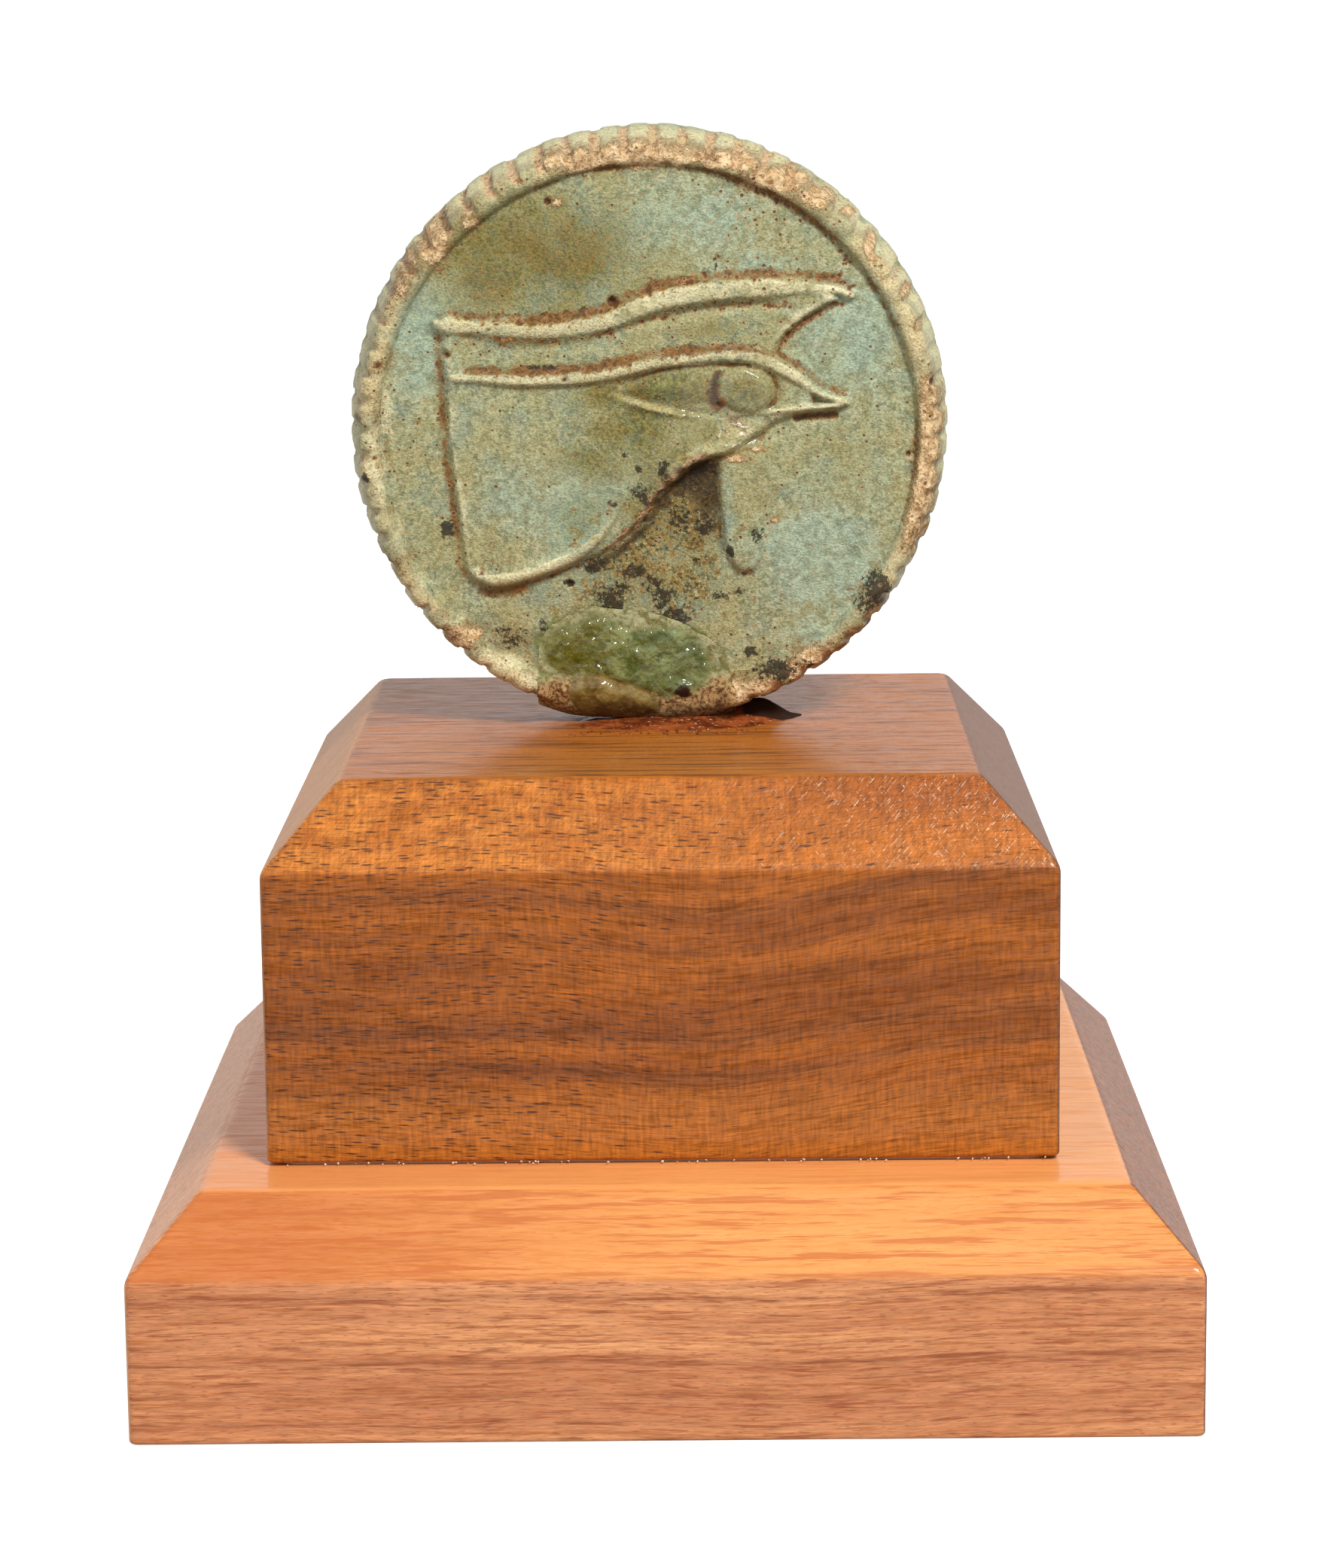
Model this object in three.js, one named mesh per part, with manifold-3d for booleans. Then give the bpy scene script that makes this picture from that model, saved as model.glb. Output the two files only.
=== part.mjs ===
// A ribbed faience medallion with a raised wedjat eye, glued on edge to a stand of two wooden blocks.
// Millimetres, +Z up, front towards -Y. The origin is the middle of the stand's underside.
import * as THREE from 'three';
import { mergeVertices } from 'three/addons/utils/BufferGeometryUtils.js';
import Module from 'manifold-3d';

const wasm = await Module();
wasm.setup();

// Stand: two square blocks, the small one set back a little on the large one.
const LOWER_SIDE = 101.6;
const LOWER_FACE = 16;
const LOWER_CHAMFER_IN = 6.65;
const LOWER_CHAMFER_UP = 7.1;
const UPPER_SIDE = 76.6;
const UPPER_FACE = 28.6;
const UPPER_CHAMFER_IN = 7.2;
const UPPER_CHAMFER_UP = 7.8;
const UPPER_SET_BACK = 2.1;
const UPPER_LEFT = 0.2;
const BLOCK_ARRIS = 0.8;
const BLOCK_CORNER = 0.7;

// Glue between the blocks, held back from the faces so that a fine dark line shows.
const FILM_THICK = 0.3;
const FILM_SET_IN = 0.9;
const FILM_CORNER = 2;

// Medallion: a disc whose side narrows towards the front, with a sunk field inside a rounded rim.
const MEDAL_RADIUS = 30.85;
const MEDAL_THICK = 10.2;
const SIDE_TAPER = 1.35;
const SHOULDER_RUN = 3.4;
const RIM_WIDTH = 2.3;
const FIELD_SUNK = 1.2;
const RIM_WALL_SLOPE = 0.5;
const BACK_SOFT = 1.3;
const SHOULDER_SOFT = 2;
const CREST_SOFT = 1;
const WALL_SOFT = 0.35;

// Ribs across the side, which run over the front edge and die out on the rim.
const RIB_COUNT = 64;
const RIB_DEPTH = 0.5;
const RIB_WRAP = 1.5;
const RIB_TOP_SHARE = 0.54;
const RIB_FLANK_SHARE = 0.14;

// How the medallion stands: its lean, its place on the block and the flat worn on its foot.
const MEDAL_LEAN = THREE.MathUtils.degToRad(2);
const MEDAL_LEFT = 1.2;
const MEDAL_BACK = 3.7;
const FOOT_FLAT = 1.1;

// Relief heights and half widths, over the field.
const PANEL_HEIGHT = 0.75;
const PANEL_BEVEL = 0.35;
const TEAR_HEIGHT = 0.95;
const TEAR_BEVEL = 0.5;
const BROW_HEIGHT = 1.3;
const BROW_HALF_WIDTH = 1.15;
const LID_HEIGHT = 1.4;
const LID_HALF_WIDTH = 0.95;
const LOWER_LID_HEIGHT = 1.2;
const LOWER_LID_HALF_WIDTH = 0.7;
const LIP_HEIGHT = 1.25;
const LIP_HALF_WIDTH = 1.15;
const WHITE_HEIGHT = 1.25;
const PUPIL_HEIGHT = 1.75;
const RELIEF_ROOT = 0.8;

// Repairs: resin in the broken foot, clear resin over the mended eye, and the glue that the foot stands in.
const SEAT_GAP = 0.3;
const FILL_DEPTH = 3.2;
const FILL_PROUD = 0.45;
const FILL_BEVEL = 0.9;
const PATCH_THICK = 0.45;
const PAD_THICK = 0.3;
const PAD_RISE = 0.65;
const PAD_RUN = 4.8;
const PAD_FILLET = 2.4;
const PAD_SHIFT = 1.6;

// One overrun serves every cut.
const OVERRUN = 2;

// Outlines of the eye, as shares of the field's radius from its middle.
const BROW_SHARES = [
  [-0.78, 0.44], [-0.57, 0.403], [-0.36, 0.401], [-0.17, 0.432], [0, 0.502], [0.105, 0.531],
  [0.42, 0.56], [0.68, 0.542], [0.76, 0.518],
];
const LID_SHARES = [
  [-0.74, 0.222], [-0.42, 0.219], [-0.2, 0.231], [0.055, 0.281], [0.35, 0.298], [0.51, 0.243],
  [0.64, 0.152], [0.745, 0.112],
];
const LOWER_LID_SHARES = [[-0.163, 0.151], [0.04, 0.089], [0.232, 0.06], [0.48, 0.085], [0.72, 0.1]];
const LIP_SHARES = [
  [-0.66, -0.52], [-0.58, -0.548], [-0.43, -0.515], [-0.28, -0.455], [-0.15, -0.37],
  [-0.05, -0.285], [0.04, -0.205], [0.13, -0.14],
];
const PANEL_LEFT_SHARES = [
  [-0.775, 0.43], [-0.762, 0.184], [-0.751, -0.06], [-0.722, -0.306], [-0.7, -0.5],
  [-0.655, -0.56], [-0.57, -0.575], [-0.43, -0.54], [-0.28, -0.485], [-0.15, -0.4], [-0.05, -0.31],
  [0.05, -0.225], [0.2, -0.12],
];
const PANEL_EYE_SHARES = [[0.46, 0.03], [0.62, 0.085]];
const PANEL_LID_SHARES = [[0.62, 0.165], [0.53, 0.24], [0.48, 0.3]];
const PANEL_NOTCH_SHARES = [[0.51, 0.353], [0.59, 0.42], [0.66, 0.465]];
const PANEL_TOP_SHARES = [
  [0.67, 0.545], [0.42, 0.577], [0.105, 0.547], [0, 0.515], [-0.17, 0.44], [-0.36, 0.401],
  [-0.6, 0.405],
];
const TEAR_SHARES = [
  [0.25, -0.06], [0.252, -0.227], [0.269, -0.327], [0.285, -0.45], [0.338, -0.527], [0.4, -0.515],
  [0.435, -0.45], [0.455, -0.34], [0.484, -0.2], [0.505, 0],
];
const TEAR_TOP_SHARES = [[0.5, 0.06], [0.26, 0.03]];
const WHITE_PLACE_SHARES = [0.16, 0.158];
const WHITE_SIZE_SHARES = [0.25, 0.077];
const PUPIL_PLACE_SHARES = [0.357, 0.165];
const PUPIL_SIZE_SHARES = [0.1, 0.1];
const FILL_SHARES = [
  [-0.42, -0.85], [-0.38, -0.72], [-0.255, -0.675], [-0.07, -0.685], [0.115, -0.73], [0.235, -0.8],
  [0.29, -0.92], [0.31, -1.06],
];
const PATCH_SHARES = [
  [0.118, 0.162], [0.16, 0.235], [0.279, 0.248], [0.419, 0.229], [0.463, 0.13], [0.451, 0.023],
  [0.4, -0.04], [0.3, -0.085], [0.21, -0.08], [0.14, 0], [0.116, 0.08],
];

// How much of its width each ridge keeps at its two ends, and over what share of its length it narrows.
const BROW_END_SHARES = [0.6, 0.35];
const LID_END_SHARES = [0.5, 0.35];
const LOWER_LID_END_SHARES = [0.35, 0.5];
const LIP_END_SHARES = [0.7, 0.4];
const NARROWING_SHARES = [0.2, 0.3];

// Half section of the glue mound, as shares of its half width and its height.
const MOUND_SHARES = [[1, 0], [0.9, 0.45], [0.6, 0.9], [0, 1]];

// How finely curves are divided.
const SOFT_STEPS = 2;
const CORNER_STEPS = 3;
const OUTLINE_STEPS = 5;
const RIDGE_STEPS = 22;
const RIDGE_SIDES = 6;
const DOME_STEPS = 16;
const PAD_STEPS = 40;
const MOUND_STEPS = 4;

const lowerHeight = LOWER_FACE + LOWER_CHAMFER_UP;
const upperHeight = UPPER_FACE + UPPER_CHAMFER_UP;
const upperFoot = lowerHeight + FILM_THICK;
const topFace = upperFoot + upperHeight;
const frontRadius = MEDAL_RADIUS - SIDE_TAPER;
const fieldRadius = frontRadius - RIM_WIDTH;
const crestInner = fieldRadius + RIM_WALL_SLOPE;
const backFace = FIELD_SUNK - MEDAL_THICK;
const shoulder = backFace + SHOULDER_RUN;
const midThick = FIELD_SUNK - MEDAL_THICK / 2;
const footDrop = MEDAL_RADIUS - FOOT_FLAT;
const footHalfChord = Math.sqrt(MEDAL_RADIUS ** 2 - footDrop ** 2);

// Merges a geometry's shared vertices, drops collapsed triangles and hands it to the solid kernel.
function solid(geometry) {
  const bare = geometry.clone();
  bare.deleteAttribute('normal');
  bare.deleteAttribute('uv');
  const merged = mergeVertices(bare.index ? bare.toNonIndexed() : bare);
  const index = merged.index.array;
  const kept = [];
  for (let i = 0; i < index.length; i += 3) {
    const [a, b, c] = [index[i], index[i + 1], index[i + 2]];
    if (a !== b && b !== c && c !== a) kept.push(a, b, c);
  }
  const mesh = new wasm.Mesh({
    numProp: 3,
    vertProperties: new Float32Array(merged.attributes.position.array),
    triVerts: new Uint32Array(kept),
  });
  return new wasm.Manifold(mesh);
}

// Turns a solid back into a geometry with shading normals.
function geometryOf(shape) {
  const mesh = shape.getMesh();
  const geometry = new THREE.BufferGeometry();
  geometry.setAttribute('position', new THREE.BufferAttribute(new Float32Array(mesh.vertProperties), 3));
  geometry.setIndex(new THREE.BufferAttribute(new Uint32Array(mesh.triVerts), 1));
  geometry.computeVertexNormals();
  return geometry;
}

// Joins a list of solids into one.
function joined(solids) {
  return solids.reduce((sum, next) => sum.add(next));
}

// Replaces each inner corner of a line of corners with a short curve of its own size, where that isn't zero.
function softened(corners, softs) {
  return corners.flatMap((corner, i) => {
    const soft = softs[i - 1];
    if (!soft) return [corner.clone()];
    const start = corners[i - 1].clone().sub(corner).setLength(soft).add(corner);
    const end = corners[i + 1].clone().sub(corner).setLength(soft).add(corner);
    return new THREE.QuadraticBezierCurve(start, corner, end).getPoints(SOFT_STEPS);
  });
}

// Skins a stack of closed rings of equal length and caps both ends.
function skinned(rings) {
  const count = rings[0].length;
  const positions = rings.flat().flatMap((point) => [point.x, point.y, point.z]);
  const index = [];
  for (let ring = 0; ring < rings.length - 1; ring += 1) {
    for (let i = 0; i < count; i += 1) {
      const a = ring * count + i;
      const b = ring * count + (i + 1) % count;
      index.push(a, b, b + count, a, b + count, a + count);
    }
  }
  const last = (rings.length - 1) * count;
  for (let i = 1; i < count - 1; i += 1) {
    index.push(0, i + 1, i);
    index.push(last, last + i, last + i + 1);
  }
  const geometry = new THREE.BufferGeometry();
  geometry.setAttribute('position', new THREE.Float32BufferAttribute(positions, 3));
  geometry.setIndex(index);
  return geometry;
}

// A level ring in the form of a square with rounded corners.
function squareRing(half, corner, height) {
  const ring = [];
  for (let quarter = 0; quarter < 4; quarter += 1) {
    for (let step = 0; step <= CORNER_STEPS; step += 1) {
      const angle = (quarter + step / CORNER_STEPS) * Math.PI / 2;
      const centre = new THREE.Vector2(half - corner, half - corner)
        .rotateAround(new THREE.Vector2(), quarter * Math.PI / 2);
      ring.push(new THREE.Vector3(
        centre.x + corner * Math.cos(angle),
        centre.y + corner * Math.sin(angle),
        height,
      ));
    }
  }
  return ring;
}

// A square block with soft arrises and a broad chamfer round its top.
function chamferedBlock(side, face, chamferIn, chamferUp) {
  const half = side / 2;
  const corners = [
    new THREE.Vector2(half - BLOCK_ARRIS, 0),
    new THREE.Vector2(half, 0),
    new THREE.Vector2(half, face),
    new THREE.Vector2(half - chamferIn, face + chamferUp),
    new THREE.Vector2(half - chamferIn - BLOCK_ARRIS, face + chamferUp),
  ];
  const arris = BLOCK_ARRIS / 2;
  const levels = softened(corners, [arris, BLOCK_ARRIS, arris]);
  return skinned(levels.map((level) => squareRing(level.x, BLOCK_CORNER, level.y)));
}

// The film of glue between the blocks.
function glueFilm() {
  const ring = squareRing(UPPER_SIDE / 2 - FILM_SET_IN, FILM_CORNER, 0);
  const outline = new THREE.Shape(ring.map((point) => new THREE.Vector2(point.x, point.y)));
  return new THREE.ExtrudeGeometry(outline, { depth: FILM_THICK, bevelEnabled: false });
}

// The disc's half section from the middle of its back to the middle of its field, grown by a clearance.
function discProfile(grow = 0) {
  const corners = [
    new THREE.Vector2(0, backFace - grow),
    new THREE.Vector2(MEDAL_RADIUS + grow, backFace - grow),
    new THREE.Vector2(MEDAL_RADIUS + grow, shoulder),
    new THREE.Vector2(frontRadius + grow, FIELD_SUNK + grow),
    new THREE.Vector2(crestInner - grow, FIELD_SUNK + grow),
    new THREE.Vector2(fieldRadius - grow, grow),
    new THREE.Vector2(0, grow),
  ];
  return softened(corners, [BACK_SOFT, SHOULDER_SOFT, CREST_SOFT, WALL_SOFT, 0]);
}

// The bottoms of the rib grooves: the same section pushed square to itself, wherever the ribs reach.
function grooveProfile(tops) {
  return tops.map((point, i) => {
    const before = tops[Math.max(i - 1, 0)];
    const after = tops[Math.min(i + 1, tops.length - 1)];
    const along = after.clone().sub(before).normalize();
    const depth = RIB_DEPTH * THREE.MathUtils.smoothstep(point.x, frontRadius - RIB_WRAP, frontRadius);
    const sunk = point.y > shoulder ? along.x * depth : 0;
    return new THREE.Vector2(point.x - along.y * depth, point.y + sunk);
  });
}

// The ribbed disc, turned about its own axis, with two stations on each rib and two in each groove.
function ribbedDisc() {
  const tops = discProfile();
  const bottoms = grooveProfile(tops);
  const stationShares = [0, RIB_TOP_SHARE, RIB_TOP_SHARE + RIB_FLANK_SHARE, 1 - RIB_FLANK_SHARE];
  const rings = [];
  for (let rib = 0; rib < RIB_COUNT; rib += 1) {
    stationShares.forEach((share, station) => {
      const angle = (rib + share) * 2 * Math.PI / RIB_COUNT;
      const section = station < 2 ? tops : bottoms;
      rings.push(section.map((point) => new THREE.Vector3(
        point.x * Math.cos(angle),
        point.x * Math.sin(angle),
        point.y,
      )));
    });
  }
  const count = tops.length;
  const index = [];
  rings.forEach((ring, column) => {
    const here = column * count;
    const next = ((column + 1) % rings.length) * count;
    for (let i = 0; i < count - 1; i += 1) {
      index.push(here + i, next + i, next + i + 1);
      index.push(here + i, next + i + 1, here + i + 1);
    }
  });
  const geometry = new THREE.BufferGeometry();
  const positions = rings.flat().flatMap((point) => [point.x, point.y, point.z]);
  geometry.setAttribute('position', new THREE.Float32BufferAttribute(positions, 3));
  geometry.setIndex(index);
  return solid(geometry);
}

// The plain turned disc, grown by a clearance, which shapes the glue round the foot.
function plainDisc(grow) {
  const lathe = new THREE.LatheGeometry(discProfile(grow), RIB_COUNT * 2);
  return solid(lathe.rotateX(Math.PI / 2));
}

// A place on the field from its shares of the field's radius.
function onField(share) {
  return new THREE.Vector2(share[0], share[1]).multiplyScalar(fieldRadius);
}

// A closed outline of smooth stretches, joined end to start by straight lines.
function outlineOf(...stretches) {
  const points = stretches.flatMap((stretch) => {
    const places = stretch.map(onField);
    const steps = OUTLINE_STEPS * (places.length - 1);
    return places.length > 2 ? new THREE.SplineCurve(places).getPoints(steps) : places;
  });
  return new THREE.Shape(points);
}

// A flat raised area with a bevelled edge, rooted below the field.
function plate(shape, height, bevel) {
  const extruded = new THREE.ExtrudeGeometry(shape, {
    depth: RELIEF_ROOT + height - bevel,
    curveSegments: OUTLINE_STEPS,
    bevelThickness: bevel,
    bevelSize: bevel,
    bevelOffset: -bevel,
    bevelSegments: 2,
  });
  return solid(extruded.translate(0, 0, -RELIEF_ROOT));
}

// A rounded ridge along a line of places, which narrows to its ends by two end shares.
function ridge(shares, halfWidth, height, endShares) {
  const line = new THREE.SplineCurve(shares.map(onField));
  const rings = [];
  for (let step = 0; step <= RIDGE_STEPS; step += 1) {
    const t = step / RIDGE_STEPS;
    const place = line.getPointAt(t);
    const tangent = line.getTangentAt(t);
    const [rise, fall] = [t, 1 - t].map((run, end) => THREE.MathUtils.lerp(
      endShares[end],
      1,
      THREE.MathUtils.smoothstep(run, 0, NARROWING_SHARES[end]),
    ));
    const scale = Math.min(rise, fall);
    const ring = [];
    for (let side = 0; side <= RIDGE_SIDES; side += 1) {
      const angle = Math.PI * side / RIDGE_SIDES;
      const across = halfWidth * scale * Math.cos(angle);
      const up = (height + RELIEF_ROOT) * Math.sin(angle) * Math.sqrt(scale) - RELIEF_ROOT;
      ring.push(new THREE.Vector3(place.x + tangent.y * across, place.y - tangent.x * across, up));
    }
    rings.push(ring);
  }
  return solid(skinned(rings.reverse()));
}

// A low dome, such as the white or the pupil of the eye.
function dome(placeShares, sizeShares, height) {
  const place = onField(placeShares);
  const radii = onField(sizeShares);
  const ball = new THREE.SphereGeometry(1, DOME_STEPS, DOME_STEPS / 2);
  return solid(ball.rotateX(Math.PI / 2)
    .scale(radii.x, radii.y, height)
    .translate(place.x, place.y, 0));
}

// The raised wedjat eye: panel, brow, lids, lip, eyeball and teardrop.
function eyeRelief() {
  const panel = outlineOf(
    PANEL_LEFT_SHARES,
    PANEL_EYE_SHARES,
    PANEL_LID_SHARES,
    PANEL_NOTCH_SHARES,
    PANEL_TOP_SHARES,
  );
  return joined([
    plate(panel, PANEL_HEIGHT, PANEL_BEVEL),
    plate(outlineOf(TEAR_SHARES, TEAR_TOP_SHARES), TEAR_HEIGHT, TEAR_BEVEL),
    ridge(BROW_SHARES, BROW_HALF_WIDTH, BROW_HEIGHT, BROW_END_SHARES),
    ridge(LID_SHARES, LID_HALF_WIDTH, LID_HEIGHT, LID_END_SHARES),
    ridge(LOWER_LID_SHARES, LOWER_LID_HALF_WIDTH, LOWER_LID_HEIGHT, LOWER_LID_END_SHARES),
    ridge(LIP_SHARES, LIP_HALF_WIDTH, LIP_HEIGHT, LIP_END_SHARES),
    dome(WHITE_PLACE_SHARES, WHITE_SIZE_SHARES, WHITE_HEIGHT),
    dome(PUPIL_PLACE_SHARES, PUPIL_SIZE_SHARES, PUPIL_HEIGHT),
  ]);
}

// An upright prism of an outline between two heights over the field, drawn in by an inset.
function prism(shape, low, high, inset = 0) {
  const extruded = new THREE.ExtrudeGeometry(shape, {
    depth: high - low,
    curveSegments: OUTLINE_STEPS,
    bevelThickness: 0,
    bevelSize: 0,
    bevelOffset: -inset,
    bevelSegments: 1,
  });
  return solid(extruded.translate(0, 0, low));
}

// Everything below the foot's flat, level with the block's top although the medallion leans.
function belowFoot() {
  const reach = MEDAL_RADIUS * 2;
  const box = new THREE.BoxGeometry(reach, reach, reach);
  box.rotateX(-MEDAL_LEAN);
  const drop = new THREE.Vector3(0, -footDrop - reach / 2, 0)
    .applyAxisAngle(new THREE.Vector3(1, 0, 0), -MEDAL_LEAN);
  return solid(box.translate(drop.x, drop.y, drop.z + midThick));
}

// The outline of the break at the foot, which runs out past the disc's edge.
function breakOutline() {
  const inside = outlineOf(FILL_SHARES).getPoints();
  const past = -MEDAL_RADIUS - OVERRUN;
  const [first, last] = [inside[0], inside[inside.length - 1]];
  return new THREE.Shape([...inside, new THREE.Vector2(last.x, past), new THREE.Vector2(first.x, past)]);
}

const fillOutline = breakOutline();
const below = belowFoot();

// The medallion with its eye, less the break that the resin fills and the flat of its foot.
const whole = ribbedDisc().add(eyeRelief());
const broken = prism(fillOutline, -FILL_DEPTH, FIELD_SUNK + OVERRUN);
const medallion = whole.subtract(broken).subtract(below);

// The resin that fills the broken foot, held off the break by the seat gap.
function resinFill() {
  const bevelled = new THREE.ExtrudeGeometry(fillOutline, {
    depth: FILL_DEPTH - SEAT_GAP + FILL_PROUD - FILL_BEVEL,
    curveSegments: OUTLINE_STEPS,
    bevelThickness: FILL_BEVEL,
    bevelSize: FILL_BEVEL,
    bevelOffset: -FILL_BEVEL - SEAT_GAP,
    bevelSegments: 3,
  });
  const body = solid(bevelled.translate(0, 0, SEAT_GAP - FILL_DEPTH));
  const floor = prism(fillOutline, SEAT_GAP - FILL_DEPTH, FIELD_SUNK + OVERRUN, SEAT_GAP);
  return body.intersect(floor).intersect(plainDisc(0)).subtract(below);
}

// Clear resin over the pupil and the tip of the cheek, lying on the relief.
function eyePatch() {
  const lifted = (height) => whole.translate(0, 0, height);
  const skin = lifted(SEAT_GAP + PATCH_THICK).subtract(lifted(SEAT_GAP));
  return skin.intersect(prism(outlineOf(PATCH_SHARES), 0, FIELD_SUNK + OVERRUN));
}

// The place of the medallion's turned frame over the block.
const medalFrame = new THREE.Group();
medalFrame.position.set(-MEDAL_LEFT, MEDAL_BACK, topFace + PAD_THICK + SEAT_GAP + footDrop);
medalFrame.rotation.x = Math.PI / 2 + MEDAL_LEAN;
const centring = new THREE.Group();
centring.position.z = -midThick;
medalFrame.add(centring);
medalFrame.updateMatrixWorld(true);

// The low mound of glue under and round the foot, which clears the medallion by the seat gap.
function footGlue() {
  const rise = new THREE.SplineCurve(MOUND_SHARES.map((share) => new THREE.Vector2(...share)));
  const profile = [new THREE.Vector2(0, 0), ...rise.getPoints(MOUND_STEPS)];
  const mound = new THREE.LatheGeometry(profile, PAD_STEPS)
    .rotateX(Math.PI / 2)
    .scale(footHalfChord + PAD_RUN, MEDAL_THICK / 2 + PAD_FILLET, PAD_THICK + PAD_RISE)
    .translate(PAD_SHIFT - MEDAL_LEFT, MEDAL_BACK, topFace);
  const clearance = geometryOf(plainDisc(SEAT_GAP).subtract(below.translate(0, -SEAT_GAP, 0)))
    .applyMatrix4(centring.matrixWorld);
  return solid(mound).subtract(solid(clearance));
}

const faience = new THREE.MeshStandardMaterial({ color: 0x9fac92, roughness: 0.55, metalness: 0 });
const resin = new THREE.MeshStandardMaterial({ color: 0x4a5a1c, roughness: 0.12, metalness: 0 });
const clearResin = new THREE.MeshStandardMaterial({ color: 0xa9a97c, roughness: 0.1, metalness: 0 });
const glue = new THREE.MeshStandardMaterial({ color: 0xb9a582, roughness: 0.3, metalness: 0 });
const darkWood = new THREE.MeshStandardMaterial({ color: 0xa0642d, roughness: 0.3, metalness: 0 });
const lightWood = new THREE.MeshStandardMaterial({ color: 0xc27e55, roughness: 0.3, metalness: 0 });

function named(name, geometry, material) {
  const mesh = new THREE.Mesh(geometry, material);
  mesh.name = name;
  return mesh;
}

const lowerBlock = named(
  'lower_block',
  chamferedBlock(LOWER_SIDE, LOWER_FACE, LOWER_CHAMFER_IN, LOWER_CHAMFER_UP),
  lightWood,
);
const upperBlock = named(
  'upper_block',
  chamferedBlock(UPPER_SIDE, UPPER_FACE, UPPER_CHAMFER_IN, UPPER_CHAMFER_UP),
  darkWood,
);
upperBlock.position.set(-UPPER_LEFT, UPPER_SET_BACK, upperFoot);
const film = named('block_glue', glueFilm(), glue);
film.position.set(-UPPER_LEFT, UPPER_SET_BACK, lowerHeight);

centring.add(named('medallion', geometryOf(medallion), faience));
centring.add(named('foot_resin', geometryOf(resinFill()), resin));
centring.add(named('eye_resin', geometryOf(eyePatch()), clearResin));

const model = new THREE.Group();
model.add(lowerBlock, film, upperBlock, medalFrame, named('foot_glue', geometryOf(footGlue()), glue));
export default model;
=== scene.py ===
# %% [markdown]
# A faience medallion on its walnut stand
#
# The object is a ribbed disc of glazed faience, about 62 mm across, with a raised wedjat eye on its
# face. It stands on edge in a little glue, on two chamfered blocks of lacquered wood. The working
# model brings every piece at its real size. This notebook gives the pieces their surfaces: worn
# relief, cracked edges, glossy resin repairs and wood grain.

# %% Load the model and keep its size
import math

import bpy
import numpy as np
from mathutils import Matrix, Vector


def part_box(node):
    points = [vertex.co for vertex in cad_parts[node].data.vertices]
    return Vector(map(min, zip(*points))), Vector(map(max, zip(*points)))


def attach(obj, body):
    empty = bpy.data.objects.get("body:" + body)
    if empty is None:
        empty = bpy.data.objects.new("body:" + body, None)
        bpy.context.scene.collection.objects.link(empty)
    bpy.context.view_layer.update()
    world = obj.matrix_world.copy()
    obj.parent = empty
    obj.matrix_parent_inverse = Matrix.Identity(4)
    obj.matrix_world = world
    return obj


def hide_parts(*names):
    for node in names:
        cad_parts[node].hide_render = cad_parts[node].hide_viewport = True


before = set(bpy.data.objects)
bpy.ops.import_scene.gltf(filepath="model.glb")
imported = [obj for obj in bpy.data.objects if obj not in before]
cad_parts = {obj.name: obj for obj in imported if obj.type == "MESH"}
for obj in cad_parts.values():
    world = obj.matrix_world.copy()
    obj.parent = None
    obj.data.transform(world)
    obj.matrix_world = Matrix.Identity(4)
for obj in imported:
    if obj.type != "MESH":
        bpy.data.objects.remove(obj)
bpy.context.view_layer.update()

MM = 0.001
print("nodes:", sorted(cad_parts))

# %% [markdown]
# The camera
#
# A product photograph like this one is taken with a long lens from a little above the object, so
# that upright edges stay nearly upright. The place and the three angles were found from the corners
# of the two blocks, whose sizes are known. The frame is 1764 by 2083 pixels, taller than wide, so
# the sensor's long side is its height.

# %% Place the camera
PHOTO_WIDE = 1764
PHOTO_HIGH = 2083
CAMERA_PLACE = Vector((3.89, -447.38, 136.66))
CAMERA_YAW = math.radians(-0.50)
CAMERA_PITCH = math.radians(10.51)
CAMERA_ROLL = math.radians(-0.63)
LENS = 101.04
SENSOR = 36.0

forward = Vector((
    math.sin(CAMERA_YAW) * math.cos(CAMERA_PITCH),
    math.cos(CAMERA_YAW) * math.cos(CAMERA_PITCH),
    -math.sin(CAMERA_PITCH),
))
level = Vector((math.cos(CAMERA_YAW), -math.sin(CAMERA_YAW), 0))
upright = level.cross(forward)
across = level * math.cos(CAMERA_ROLL) + upright * math.sin(CAMERA_ROLL)
upward = upright * math.cos(CAMERA_ROLL) - level * math.sin(CAMERA_ROLL)

lens_data = bpy.data.cameras.new("camera")
lens_data.lens = LENS
lens_data.sensor_width = SENSOR
camera = bpy.data.objects.new("camera", lens_data)
turned = Matrix((across, upward, -forward)).transposed().to_4x4()
camera.matrix_world = Matrix.Translation(CAMERA_PLACE * MM) @ turned
bpy.context.scene.collection.objects.link(camera)
bpy.context.scene.camera = camera
print("camera at", tuple(round(c, 4) for c in camera.location))

# %% [markdown]
# Small helpers for shapes
#
# The disc's face is a height map first and a mesh afterwards, because a relief that has been cast in
# a mould is exactly that: one height for each place. Working on a regular grid of heights makes it
# easy to measure the distance to an outline, to find crevices by blurring, and to press pits into
# the surface. The same grid later holds the masks for stains and wear.

# %% A grid over the face, in millimetres
GRID_STEP = 0.15
GRID_REACH = 31.5
grid_axis = np.arange(-GRID_REACH, GRID_REACH + GRID_STEP / 2, GRID_STEP)
grid_x, grid_y = np.meshgrid(grid_axis, grid_axis)
print("face grid:", grid_x.shape)


# %% Soft steps, curves and noise
LATTICE = 256


def smooth(value, low, high):
    """Rises softly from 0 at low to 1 at high."""
    share = np.clip((value - low) / (high - low), 0, 1)
    return share * share * (3 - 2 * share)


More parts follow.
